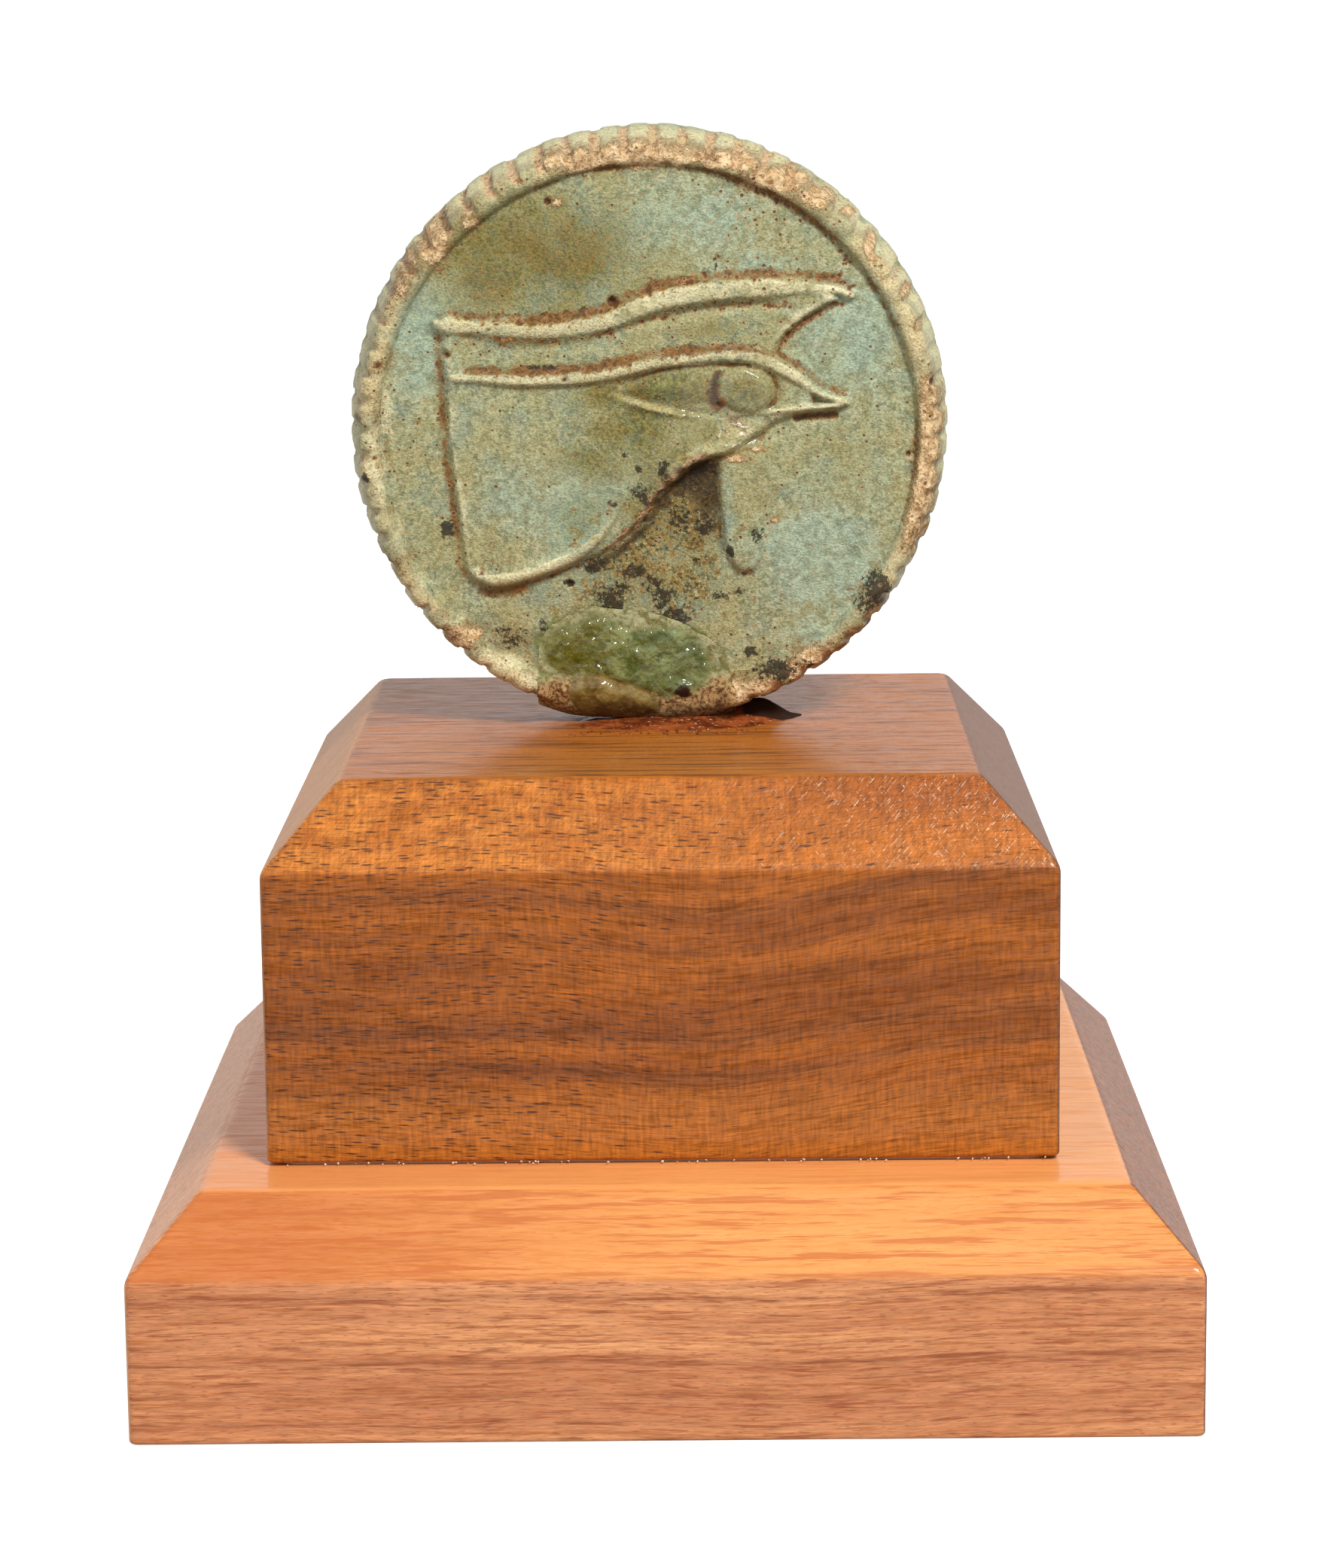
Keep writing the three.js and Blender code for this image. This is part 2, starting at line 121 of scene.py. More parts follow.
def curve(places, steps=8):
    """A smooth line through a list of places."""
    given = np.array(places, float)
    ends = np.vstack([2 * given[0] - given[1], given, 2 * given[-1] - given[-2]])
    t = np.linspace(0, 1, steps, endpoint=False)[:, None]
    pieces = []
    for a, b, c, d in zip(ends, ends[1:], ends[2:], ends[3:]):
        bend = 2 * a - 5 * b + 4 * c - d
        pieces.append(b + ((c - a) * t + bend * t ** 2 + (3 * b - a - 3 * c + d) * t ** 3) / 2)
    return np.vstack([*pieces, given[-1:]])


def value_noise(x, y, size, seed):
    """Smooth noise from -1 to 1 whose lumps are about size across."""
    lattice = np.random.default_rng(seed).uniform(-1, 1, (LATTICE, LATTICE))
    column = np.floor(x / size).astype(int)
    row = np.floor(y / size).astype(int)
    along = smooth(x / size - column, 0, 1)
    up = smooth(y / size - row, 0, 1)
    left, right = column % LATTICE, (column + 1) % LATTICE
    below, above = row % LATTICE, (row + 1) % LATTICE
    near = lattice[below, left] * (1 - along) + lattice[below, right] * along
    far = lattice[above, left] * (1 - along) + lattice[above, right] * along
    return near * (1 - up) + far * up


def rough_noise(x, y, size, seed, layers=3):
    """Several sizes of noise laid over each other, each half as large and half as strong."""
    total = sum(value_noise(x, y, size / 2 ** n, seed + n) / 2 ** n for n in range(layers))
    return total / (2 - 2 / 2 ** layers)


def blurred(grid, radius):
    """The grid softened by a bell curve of that radius in millimetres."""
    turns = np.fft.fftfreq(grid.shape[0], GRID_STEP)
    fall = np.exp(-2 * (math.pi * radius * turns) ** 2)
    return np.fft.ifft2(np.fft.fft2(grid) * fall[:, None] * fall[None, :]).real


print("noise from", round(value_noise(grid_x, grid_y, 2, 1).min(), 2), "to 1")


# %% Distances to a line and to an outline
def near_line(line, reach):
    """Distance to a line, signed distance with the left side positive, and the share of its length."""
    away = np.full(grid_x.shape, float(reach))
    left = np.full(grid_x.shape, float(reach))
    along = np.zeros(grid_x.shape)
    runs = np.hypot(*(line[1:] - line[:-1]).T)
    before = 0
    for start, end, run in zip(line, line[1:], runs):
        low = np.minimum(start, end) - reach
        high = np.maximum(start, end) + reach
        columns = slice(*np.searchsorted(grid_axis, [low[0], high[0]]))
        rows = slice(*np.searchsorted(grid_axis, [low[1], high[1]]))
        window = (rows, columns)
        dx, dy = end - start
        x = grid_x[window] - start[0]
        y = grid_y[window] - start[1]
        share = np.clip((x * dx + y * dy) / max(run ** 2, 1e-9), 0, 1)
        gap = np.hypot(x - share * dx, y - share * dy)
        closer = gap < away[window]
        turn = np.where(dx * y - dy * x >= 0, 1, -1)
        away[window] = np.where(closer, gap, away[window])
        left[window] = np.where(closer, gap * turn, left[window])
        along[window] = np.where(closer, (before + share * run) / runs.sum(), along[window])
        before += run
    return away, left, along


def inside(loop):
    """True within a closed outline."""
    found = np.zeros(grid_x.shape, bool)
    for start, end in zip(loop, np.roll(loop, -1, axis=0)):
        low, high = sorted((start[1], end[1]))
        rows = np.flatnonzero((grid_axis >= low) & (grid_axis < high))
        if len(rows):
            crossing = start[0] + (grid_axis[rows] - start[1]) * (end[0] - start[0]) / (end[1] - start[1])
            found[rows] ^= grid_axis[None, :] < crossing[:, None]
    return found


def depth_in(loop, reach):
    """Distance from a closed outline, positive within it."""
    away = near_line(np.vstack([loop, loop[:1]]), reach)[0]
    return np.where(inside(loop), away, -away)


# %% [markdown]
# The medallion's own frame
#
# The disc leans forward by two degrees. Its shape is easier to describe lying flat: x to the right,
# y up and z out of the face, with the field at height 0. One matrix then stands it up. A pixel of
# the photograph can be sent through the camera to a place on the face, which is how marks that only
# show in the picture find their places.

# %% Sizes of the medallion, in millimetres, and its frame
low_corner, high_corner = (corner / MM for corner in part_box("medallion"))
MEDAL_RADIUS = (high_corner.x - low_corner.x) / 2
MEDAL_BACK = 3.7
MEDAL_LEAN = math.radians(2)
FOOT_FLAT = 1.1
MEDAL_THICK = 10.2
SIDE_TAPER = 1.35
SHOULDER_RUN = 3.4
RIM_WIDTH = 2.3
FIELD_SUNK = 1.2
RIM_WALL_SLOPE = 0.5

front_radius = MEDAL_RADIUS - SIDE_TAPER
field_radius = front_radius - RIM_WIDTH
back_face = FIELD_SUNK - MEDAL_THICK
mid_thick = FIELD_SUNK - MEDAL_THICK / 2
foot_level = low_corner.z
medal_place = Vector((
    (low_corner.x + high_corner.x) / 2,
    MEDAL_BACK,
    foot_level + MEDAL_RADIUS - FOOT_FLAT,
))
face_frame = (
    Matrix.Translation(medal_place)
    @ Matrix.Rotation(math.pi / 2 + MEDAL_LEAN, 4, "X")
    @ Matrix.Translation((0, 0, -mid_thick))
)


def on_face(u, v):
    """The place on the field that a pixel of the photograph looks at."""
    focal = LENS / SENSOR * PHOTO_HIGH
    ray = forward * focal + across * (u - PHOTO_WIDE / 2) + upward * (PHOTO_HIGH / 2 - v)
    flat = face_frame.inverted()
    start = flat @ CAMERA_PLACE
    step = flat.to_3x3() @ ray
    place = start - step * (start.z / step.z)
    return place.x, place.y


print("radius", round(MEDAL_RADIUS, 2), "field", round(field_radius, 2), "middle", on_face(861.4, 575.9))

# %% [markdown]
# The raised eye
#
# The wedjat eye is a falcon's eye with its cheek marks. On the medallion it is a flat panel raised
# under a long brow, with two lids, an eyeball, a rolled lip along the cheek and one hanging drop.
# Each line is a list of places, as shares of the field's radius, with a smooth curve through them.

# %% Outlines of the eye
BROW = [
    (-0.745, 0.43), (-0.57, 0.403), (-0.36, 0.401), (-0.17, 0.432), (0, 0.502), (0.105, 0.531),
    (0.42, 0.56), (0.68, 0.542), (0.76, 0.518),
]
BROW_GROOVE = [
    (-0.751, 0.386), (-0.561, 0.367), (-0.362, 0.354), (-0.199, 0.375), (-0.028, 0.421),
    (0.113, 0.447), (0.261, 0.474), (0.434, 0.48), (0.56, 0.472),
]
UPPER_LID = [
    (-0.72, 0.222), (-0.42, 0.219), (-0.2, 0.231), (0.055, 0.281), (0.35, 0.298), (0.51, 0.243),
    (0.64, 0.152), (0.745, 0.112),
]
LOWER_LID = [(-0.163, 0.151), (0.04, 0.089), (0.232, 0.06), (0.48, 0.085), (0.72, 0.1)]
LIP = [
    (-0.66, -0.52), (-0.58, -0.548), (-0.43, -0.515), (-0.28, -0.455), (-0.19, -0.385),
    (-0.125, -0.3), (-0.07, -0.22),
]
PANEL_LEFT = [
    (-0.775, 0.43), (-0.762, 0.184), (-0.751, -0.06), (-0.722, -0.306), (-0.7, -0.5),
    (-0.655, -0.56), (-0.57, -0.575), (-0.43, -0.545), (-0.28, -0.5), (-0.16, -0.445),
    (-0.083, -0.385), (-0.02, -0.318), (0.045, -0.215), (0.12, -0.14), (0.2, -0.09),
]
PANEL_EYE = [(0.33, -0.06), (0.46, 0.03), (0.62, 0.085)]
PANEL_LID = [(0.62, 0.165), (0.53, 0.24), (0.48, 0.3)]
PANEL_NOTCH = [(0.51, 0.353), (0.59, 0.42), (0.672, 0.469), (0.725, 0.491)]
PANEL_TOP = [
    (0.67, 0.545), (0.42, 0.577), (0.105, 0.547), (0, 0.515), (-0.17, 0.44), (-0.36, 0.401),
    (-0.6, 0.405),
]
NOTCH_GROOVE = [
    (0.484, 0.306), (0.512, 0.353), (0.554, 0.392), (0.591, 0.422), (0.672, 0.469), (0.725, 0.491),
]
SHORT_GROOVE = [(0.536, 0.049), (0.62, 0.058), (0.719, 0.064)]
DROP = [
    (0.25, -0.06), (0.252, -0.227), (0.269, -0.327), (0.285, -0.45), (0.338, -0.527), (0.4, -0.515),
    (0.435, -0.45), (0.455, -0.34), (0.484, -0.2), (0.505, 0),
]
ALMOND = [
    (-0.125, 0.161), (-0.032, 0.211), (0.064, 0.242), (0.179, 0.258), (0.286, 0.262), (0.391, 0.245),
    (0.464, 0.196), (0.475, 0.138), (0.433, 0.089), (0.334, 0.069), (0.236, 0.078), (0.123, 0.101),
    (-0.004, 0.133), (-0.125, 0.161),
]
PUPIL_PLACE = (0.374, 0.168)
PUPIL_SIZE = (0.096, 0.09)
PUPIL_BAND = [(0.268, 0.246), (0.252, 0.21), (0.242, 0.161), (0.251, 0.118), (0.275, 0.088)]
CHEEK_TIP = (0.2, -0.12)


def line_of(shares):
    """A curve through places given as shares of the field's radius, in millimetres."""
    return curve(np.array(shares) * field_radius)


def loop_of(*stretches):
    """An outline made of several curves, one after the other."""
    return np.vstack([line_of(stretch) for stretch in stretches])


panel_depth = depth_in(loop_of(PANEL_LEFT, PANEL_EYE, PANEL_LID, PANEL_NOTCH, PANEL_TOP), 3)
drop_depth = depth_in(loop_of(DROP), 3)
almond_depth = depth_in(loop_of(ALMOND[:-1]), 3)
print("panel covers", round(float((panel_depth > 0).sum()) * GRID_STEP ** 2), "square mm")

# %% [markdown]
# Heights of the relief
#
# Each ridge has two flanks. The brow and the upper lid drop steeply on their outer side, where dirt
# has settled, and run out gently on the other. Taking the higher of two shapes wherever they meet
# keeps every ridge whole, and one light blur at the end gives the soft creases that a thick glaze
# leaves. Towards the tip of the cheek the panel stands much higher, with a chipped edge.

# %% Build the relief
PANEL_HEIGHT = 0.7
CHEEK_RISE = 1.5
CHEEK_REACH = 4.2
DROP_HEIGHT = 0.95
DROP_SOFT_FROM = 0.41
GLAZE_SOFTENING = 0.13
GROOVES = [
    (PUPIL_BAND, 0.2, 0.4), (BROW_GROOVE, 0.32, 0.5), (NOTCH_GROOVE, 0.3, 0.35),
    (SHORT_GROOVE, 0.55, 0.42),
]


def ridge(shares, height, upper, lower, end_shares, narrowing=(0.18, 0.25), flat_share=0.1):
    """A ridge with an upper and a lower flank width, which shrinks to its ends."""
    _, left, along = near_line(line_of(shares), 3)
    first = end_shares[0] + (1 - end_shares[0]) * smooth(along, 0, narrowing[0])
    last = end_shares[1] + (1 - end_shares[1]) * smooth(1 - along, 0, narrowing[1])
    size = np.minimum(first, last)
    flank = np.where(left > 0, left / upper, -left / lower) / size
    return height * np.sqrt(size) * (1 - smooth(flank, flat_share, 1))


def dome(place, size, foot, height):
    """A low dome over an oval, standing on a foot."""
    x = (grid_x / field_radius - place[0]) / size[0]
    y = (grid_y / field_radius - place[1]) / size[1]
    bulge = np.clip(1 - x ** 2 - y ** 2, 0, 1)
    return np.where(bulge > 0, foot + height * bulge ** 0.45, 0)


def groove(shares, depth, width):
    """A soft groove along a line, which dies out at both ends."""
    away, _, along = near_line(line_of(shares), 2)
    return depth * np.exp(-(away / width) ** 2) * smooth(along, 0, 0.1) * smooth(1 - along, 0, 0.1)


tip = np.array(CHEEK_TIP) * field_radius
cheek = np.exp(-((grid_x - tip[0]) ** 2 + (grid_y - tip[1]) ** 2) / (2 * CHEEK_REACH ** 2))
chipping = rough_noise(grid_x, grid_y, 1.4, 11)
chipped_depth = panel_depth + 0.55 * chipping * cheek
panel_edge = smooth(chipped_depth, -0.05 - 0.75 * cheek, 0.5 - 0.3 * cheek)
panel = (PANEL_HEIGHT + CHEEK_RISE * cheek ** 2) * panel_edge
eyeball = np.maximum(
    np.where(almond_depth > 0, PANEL_HEIGHT + 0.5 * smooth(almond_depth, 0, 1.9), 0),
    dome(PUPIL_PLACE, PUPIL_SIZE, PANEL_HEIGHT + 0.25, 0.65),
)
ridges = [
    ridge(BROW, 1.3, 1.0, 2.5, (0.75, 0.3), flat_share=0.42),
    ridge(UPPER_LID, 1.35, 0.9, 1.45, (0.6, 0.35), flat_share=0.45),
    ridge(LOWER_LID, 1.25, 0.8, 0.7, (0.45, 0.5), (0.2, 0.4)),
    ridge(LIP, 1.3, 1.6, 1.05, (0.7, 0.35), (0.15, 0.4), flat_share=0.2),
]
drop_edge = np.where(grid_x < DROP_SOFT_FROM * field_radius, 0.5, 1.6)
drop = DROP_HEIGHT * (0.75 * smooth(drop_depth, -0.1, drop_edge) + 0.25 * smooth(drop_depth, 0.3, 2.8))
relief = np.maximum.reduce([panel, eyeball, drop, *ridges])
relief -= 0.3 * np.exp(-((almond_depth + 0.1) / 0.3) ** 2)
for line, depth, width in GROOVES:
    relief -= groove(line, depth, width)
print("relief from", round(float(relief.min()), 2), "to", round(float(relief.max()), 2), "mm")

# %% [markdown]
# Uneven field, pits and chips
#
# Faience is crushed quartz that glazes itself in the kiln. Its surface is never flat: it heaves a
# little, and gas leaves round pits. Big pits are pressed into the mesh here, at the places where the
# photograph shows them, with rows along the grooves. The small ones are left to the finish.

# %% Heave the field and press the pits
FIELD_HEAVE = 0.11
NAMED_PITS = [
    (727, 268, 0.5), (594, 471, 0.42), (813, 401, 0.62), (1207, 603, 0.42), (750, 503, 0.35),
    (765, 605, 0.25), (730, 646, 0.28), (555, 563, 0.28), (541, 618, 0.25), (640, 760, 0.3),
    (1120, 638, 0.25), (757, 775, 0.45), (824, 236, 0.25), (865, 247, 0.22), (853, 258, 0.2),
    (954, 341, 0.3), (902, 226, 0.25), (970, 262, 0.22), (1047, 322, 0.22), (503, 483, 0.42),
    (474, 556, 0.36), (499, 606, 0.34), (486, 634, 0.34), (488, 670, 0.2), (1241, 505, 0.4),
    (1226, 478, 0.3), (1228, 640, 0.3),
]
LARGE_PITS = 40
PIT_SEED = 7

heave = rough_noise(grid_x, grid_y, 7, 21) + 0.35 * rough_noise(grid_x, grid_y, 1.6, 22)
height = relief + FIELD_HEAVE * heave
pits = np.zeros(grid_x.shape)


def press_pit(x, y, radius, depth):
    """A round pit; where pits meet, the deeper one counts."""
    gap = np.hypot(grid_x - x, grid_y - y) / radius
    np.maximum(pits, depth * (1 - smooth(gap, 0.25, 1.15)), out=pits)


for u, v, radius in NAMED_PITS:
    press_pit(*on_face(u, v), radius, radius * 1.1)
draw = np.random.default_rng(PIT_SEED)


def pit_row(line, count, jitter, radii):
    """Pits strung unevenly along a line."""
    for spot in draw.integers(0, len(line), count):
        x, y = line[spot] + draw.normal(0, jitter, 2)
        press_pit(x, y, draw.uniform(*radii), 0.24)


def foot_of_rim(first, last):
    """The inner foot of the rim between two angles in degrees, counted from the right."""
    turns = np.radians(np.linspace(first, last, 60))
    return (field_radius - 0.35) * np.column_stack([np.cos(turns), np.sin(turns)])


PIT_ROWS = [
    (line_of(BROW)[22:] + (0, 0.75), 30, 0.3, (0.3, 0.5)),
    (line_of(BROW)[:22] + (0, 0.6), 9, 0.35, (0.25, 0.42)),
    (line_of(BROW_GROOVE), 14, 0.35, (0.25, 0.42)),
    (line_of(NOTCH_GROOVE), 10, 0.22, (0.25, 0.42)),
    (line_of(UPPER_LID)[:40] + (0, 0.8), 10, 0.3, (0.25, 0.4)),
    (foot_of_rim(38, 68), 20, 0.22, (0.22, 0.36)),
]
for line, count, jitter, radii in PIT_ROWS:
    pit_row(line, count, jitter, radii)
for _ in range(LARGE_PITS):
    x, y = draw.uniform(-field_radius, field_radius, 2)
    press_pit(x, y, draw.uniform(0.25, 0.4), 0.15)
height = blurred(height, GLAZE_SOFTENING) - pits
print(len(NAMED_PITS), "named pits,", LARGE_PITS, "scattered")

# %% [markdown]
# Masks for stains, wear, colour, painted highlight and painted shade
#
# The glaze changes colour with its thickness and with what has soaked in. Brown earth fills the
# crevices, black specks cling in patches, the crests are abraded pale and painted lighter as a
# highlight, and where the glaze is gone the peach body shows. Some dark marks are partly painted
# shade: near-black ones under the cheek's chipped edge and beside the drop, and a brown line at the
# foot of the rim wall. Each of these is a soft mask from 0 to 1. The shader breaks its edge up later
# with fine noise. Crevices and crests come from the height map itself, compared with a blurred copy.


# %% Masks on the face
def patches(marks):
    """The strongest of several soft oval patches, each a pixel, two half widths in mm and a strength."""
    found = np.zeros(grid_x.shape)
    for u, v, wide, high, strength in marks:
        x, y = on_face(u, v)
        gap = ((grid_x - x) / wide) ** 2 + ((grid_y - y) / high) ** 2
        np.maximum(found, strength * np.exp(-gap / 1.4), out=found)
    return found


def beside(shares, offset, width, strength):
    """A soft band that runs beside a line, at an offset to its left."""
    _, left, along = near_line(line_of(shares), 3)
    ends = smooth(along, 0, 0.06) * smooth(1 - along, 0, 0.06)
    return strength * ends * np.exp(-((left - offset) / width) ** 2)


STAIN_BANDS = [
    (PANEL_LEFT[:6], -0.3, 0.6, 0.95), (PANEL_LEFT[5:8], -0.6, 0.8, 0.9), (BROW, 0.95, 0.75, 0.95),
    (UPPER_LID[:6], 0.65, 0.7, 1.0), (UPPER_LID[4:], 0.9, 0.6, 0.75), (BROW_GROOVE, 0, 0.6, 0.7),
    (NOTCH_GROOVE, -0.1, 0.5, 0.95), (SHORT_GROOVE, 0, 0.5, 1.1), (DROP[4:6], -0.3, 0.4, 0.8),
    (BROW, -1.9, 0.5, 0.5), (UPPER_LID[:5], -1.2, 0.5, 0.5), (PUPIL_BAND, 0.1, 0.95, 1.3),
]
PITTED_BANDS = [
    (BROW[4:], 0.9, 0.7, 0.8), (BROW[:5], 0.9, 0.6, 0.35), (BROW_GROOVE, -0.1, 0.6, 0.6),
    (NOTCH_GROOVE, -0.1, 0.5, 0.9), (UPPER_LID[2:], 0.9, 0.6, 0.4), (PANEL_LEFT[:6], -0.3, 0.5, 0.5),
    (BROW[3:], -1.8, 0.5, 0.5),
]
PITTED = [
    (1020, 290, 7.0, 4.4, 0.9), (1080, 350, 3.0, 2.4, 0.6), (1150, 790, 3.5, 5.0, 0.5),
    (860, 250, 6.0, 2.0, 0.25), (1000, 720, 2.5, 3.5, 0.4), (880, 740, 5.0, 5.0, 0.4),
    (600, 640, 2.5, 6.0, 0.3), (700, 600, 5.0, 6.0, 0.2), (700, 840, 4.0, 2.0, 0.4),
    (1040, 840, 5.0, 2.5, 0.3), (560, 500, 2.5, 4.0, 0.2),
]
DOTTED_RIM = (38, 74)
# Near-black bands: dirt along the almond, the pupil and the grooves, and painted shade under the cheek's
# edge and beside the drop.
DARK_DIRT_AND_SHADE_BANDS = [
    (ALMOND[:8], 0.1, 0.32, 0.62), (ALMOND[7:], 0.1, 0.3, 0.5), (PUPIL_BAND, 0.1, 0.65, 0.85),
    (ALMOND[6:10], 0.5, 0.4, 0.5), (DROP[3:6], -0.2, 0.3, 0.5), (DROP[1:4], -0.3, 0.45, 0.7),
    (SHORT_GROOVE, 0, 0.3, 0.7), (NOTCH_GROOVE, -0.1, 0.22, 0.6), (PANEL_LEFT[8:], -0.7, 0.6, 0.9),
]
CRACKS = [
    [(-0.125, 0.165), (-0.05, 0.212), (0.01, 0.236), (0.07, 0.25)],
    [(0.06, 0.253), (0.13, 0.262), (0.22, 0.264)], [(-0.14, 0.155), (-0.02, 0.118), (0.1, 0.085)],
]
RUST = [
    (675, 576, 1.0, 1.0, 0.55), (656, 723, 0.9, 0.7, 0.7), (503, 486, 1.0, 0.8, 0.9),
    (501, 545, 0.8, 1.5, 0.9), (497, 654, 0.9, 0.7, 0.9), (520, 676, 0.6, 1.7, 0.7),
    (530, 748, 1.8, 1.1, 1.1), (608, 843, 1.8, 0.9, 1.0), (520, 400, 0.9, 1.6, 0.8),
    (536, 372, 0.9, 1.2, 0.9), (1234, 530, 0.7, 1.6, 0.9), (1228, 660, 0.8, 1.4, 0.8),
    (740, 335, 7.5, 4.0, 0.62), (690, 310, 3.0, 2.4, 0.5), (780, 300, 2.0, 1.6, 0.35),
    (760, 450, 6.0, 0.8, 0.5), (900, 440, 6.0, 0.8, 0.5), (1000, 425, 4.0, 0.7, 0.45),
    (1150, 790, 1.6, 2.0, 0.7), (1040, 880, 2.5, 1.2, 0.6), (1000, 840, 3.0, 1.5, 0.3),
    (668, 560, 1.8, 1.2, 0.4), (905, 700, 3.2, 3.5, 0.55), (850, 760, 3.5, 3.5, 0.5),
    # The patch at (930, 660) is partly painted shade below the cheek's edge.
    (930, 660, 1.6, 3.0, 0.8), (900, 720, 1.5, 2.0, 0.6), (1000, 660, 1.0, 2.2, 0.3),
    (1150, 842, 2.2, 1.2, 0.8), (1120, 862, 2.0, 1.0, 0.7), (990, 900, 3.0, 1.2, 0.7),
    (620, 600, 0.8, 1.6, 0.3), (720, 845, 2.4, 1.0, 0.6), (970, 596, 1.6, 0.5, 0.5),
    (1008, 625, 0.5, 1.8, 0.6), (1030, 655, 0.4, 2.6, 0.55), (820, 497, 1.5, 0.4, 0.5),
    (960, 540, 0.9, 0.6, 0.8), (870, 690, 5.0, 4.0, 0.5), (800, 745, 3.5, 3.0, 0.45),
    (900, 770, 4.0, 4.0, 0.45), (640, 380, 4.5, 3.5, 0.6), (850, 350, 3.0, 1.6, 0.35),
    (560, 600, 2.0, 3.0, 0.3), (846, 517, 1.4, 0.8, 0.7), (675, 848, 2.4, 1.8, 0.8),
    (545, 745, 1.2, 2.0, 0.7), (592, 812, 1.4, 1.2, 0.7), (712, 915, 1.2, 3.0, 0.9),
    (1040, 790, 3.0, 3.0, 0.3), (1215, 700, 0.8, 3.0, 0.6), (500, 560, 0.8, 4.0, 0.65),
]
# Near-black patches: dirt in some large pits, and painted shade under the cheek's chipped edge.
DARK_DIRT_AND_SHADE = [
    (934, 628, 1.7, 1.6, 1.3), (942, 655, 1.1, 2.6, 1.15), (925, 640, 1.6, 2.0, 1.1),
    (905, 648, 1.5, 1.0, 1.1), (880, 668, 1.2, 0.8, 1.0), (860, 690, 1.1, 0.8, 0.8),
    (840, 704, 1.0, 0.7, 0.6), (948, 690, 0.7, 1.8, 0.8), (930, 680, 1.2, 1.6, 0.7),
    (884, 628, 0.6, 1.3, 0.75), (902, 622, 1.0, 0.5, 0.8), (866, 640, 1.4, 1.6, 0.42),
    (503, 483, 0.5, 0.45, 1.1), (474, 556, 0.5, 0.5, 1.1), (1240, 505, 0.45, 0.5, 1.0),
    (930, 705, 1.4, 2.4, 0.55),
]
EARTH = [
    (915, 685, 3.0, 4.2, 1.0), (865, 715, 3.6, 3.4, 0.9), (820, 745, 4.2, 2.8, 0.8),
    (900, 780, 4.2, 3.4, 0.85), (810, 790, 3.4, 2.6, 0.8), (935, 745, 2.0, 3.8, 0.7),
    (880, 822, 3.4, 1.8, 0.75), (720, 790, 3.8, 1.6, 0.4), (655, 748, 1.2, 2.6, 0.4),
    (985, 800, 2.2, 2.2, 0.45), (760, 815, 2.4, 1.6, 0.5), (690, 850, 2.2, 1.6, 0.6),
    (1150, 845, 2.4, 1.8, 0.75), (1120, 862, 2.0, 1.2, 0.6), (940, 860, 2.0, 2.2, 0.4),
]
SOOT = [
    (594, 702, 0.8, 1.2, 1.2), (486, 634, 0.5, 0.6, 1.2), (830, 603, 0.4, 0.4, 0.95),
    (849, 622, 0.5, 0.5, 0.95), (849, 652, 1.3, 1.2, 0.92), (813, 668, 0.7, 0.5, 0.95),
    (880, 622, 0.7, 1.3, 0.95), (858, 664, 1.0, 0.8, 0.85), (813, 798, 1.6, 1.8, 1.0),
    (824, 781, 1.0, 1.1, 0.95), (897, 820, 1.8, 1.2, 1.02), (880, 795, 1.6, 1.6, 0.95),
    (846, 758, 1.6, 1.1, 0.9), (757, 775, 0.6, 0.5, 1.2), (970, 731, 0.55, 0.8, 1.15),
    (1006, 708, 1.0, 0.9, 0.9), (959, 792, 1.1, 0.6, 0.92), (985, 786, 0.7, 0.5, 0.8),
    (998, 865, 1.0, 0.7, 1.05), (1165, 782, 1.6, 2.0, 1.15), (1033, 888, 2.8, 1.2, 1.05),
    (903, 916, 0.9, 0.8, 1.3), (680, 850, 2.0, 1.5, 0.78), (722, 830, 0.8, 1.4, 0.74),
    (1150, 800, 1.4, 1.1, 0.95), (926, 622, 1.6, 1.2, 0.9), (878, 652, 1.2, 0.6, 0.7),
    (720, 487, 2.0, 0.35, 0.95), (950, 350, 0.28, 1.0, 0.9), (905, 640, 0.9, 0.6, 0.9),
    (905, 690, 1.6, 1.8, 0.85), (935, 700, 1.0, 2.0, 0.85), (790, 752, 1.6, 1.0, 0.85),
    (868, 775, 1.4, 1.0, 0.9), (925, 745, 1.0, 1.4, 0.66), (1075, 880, 1.2, 0.8, 0.85),
    (668, 838, 1.2, 1.0, 0.75),
]
BLUE = [
    (770, 690, 4.2, 5.2, 1.2), (1090, 740, 7.0, 5.5, 1.1), (920, 290, 7.5, 3.6, 0.8),
    (555, 450, 3.2, 5.6, 1.1), (1130, 440, 5.5, 6.5, 1.0), (966, 680, 0.8, 4.6, 1.0),
    (700, 660, 5.0, 4.5, 0.7), (590, 470, 1.5, 2.0, 0.5), (1010, 352, 6.0, 1.4, 0.8),
    (1070, 840, 4.0, 2.6, 0.8), (1150, 640, 3.0, 5.0, 0.5), (1190, 480, 2.5, 5.0, 0.5),
    (890, 518, 1.6, 0.9, 0.9), (905, 570, 1.6, 1.4, 0.5), (640, 500, 3.0, 0.6, 0.3),
    (850, 820, 2.5, 2.0, 0.3),
]
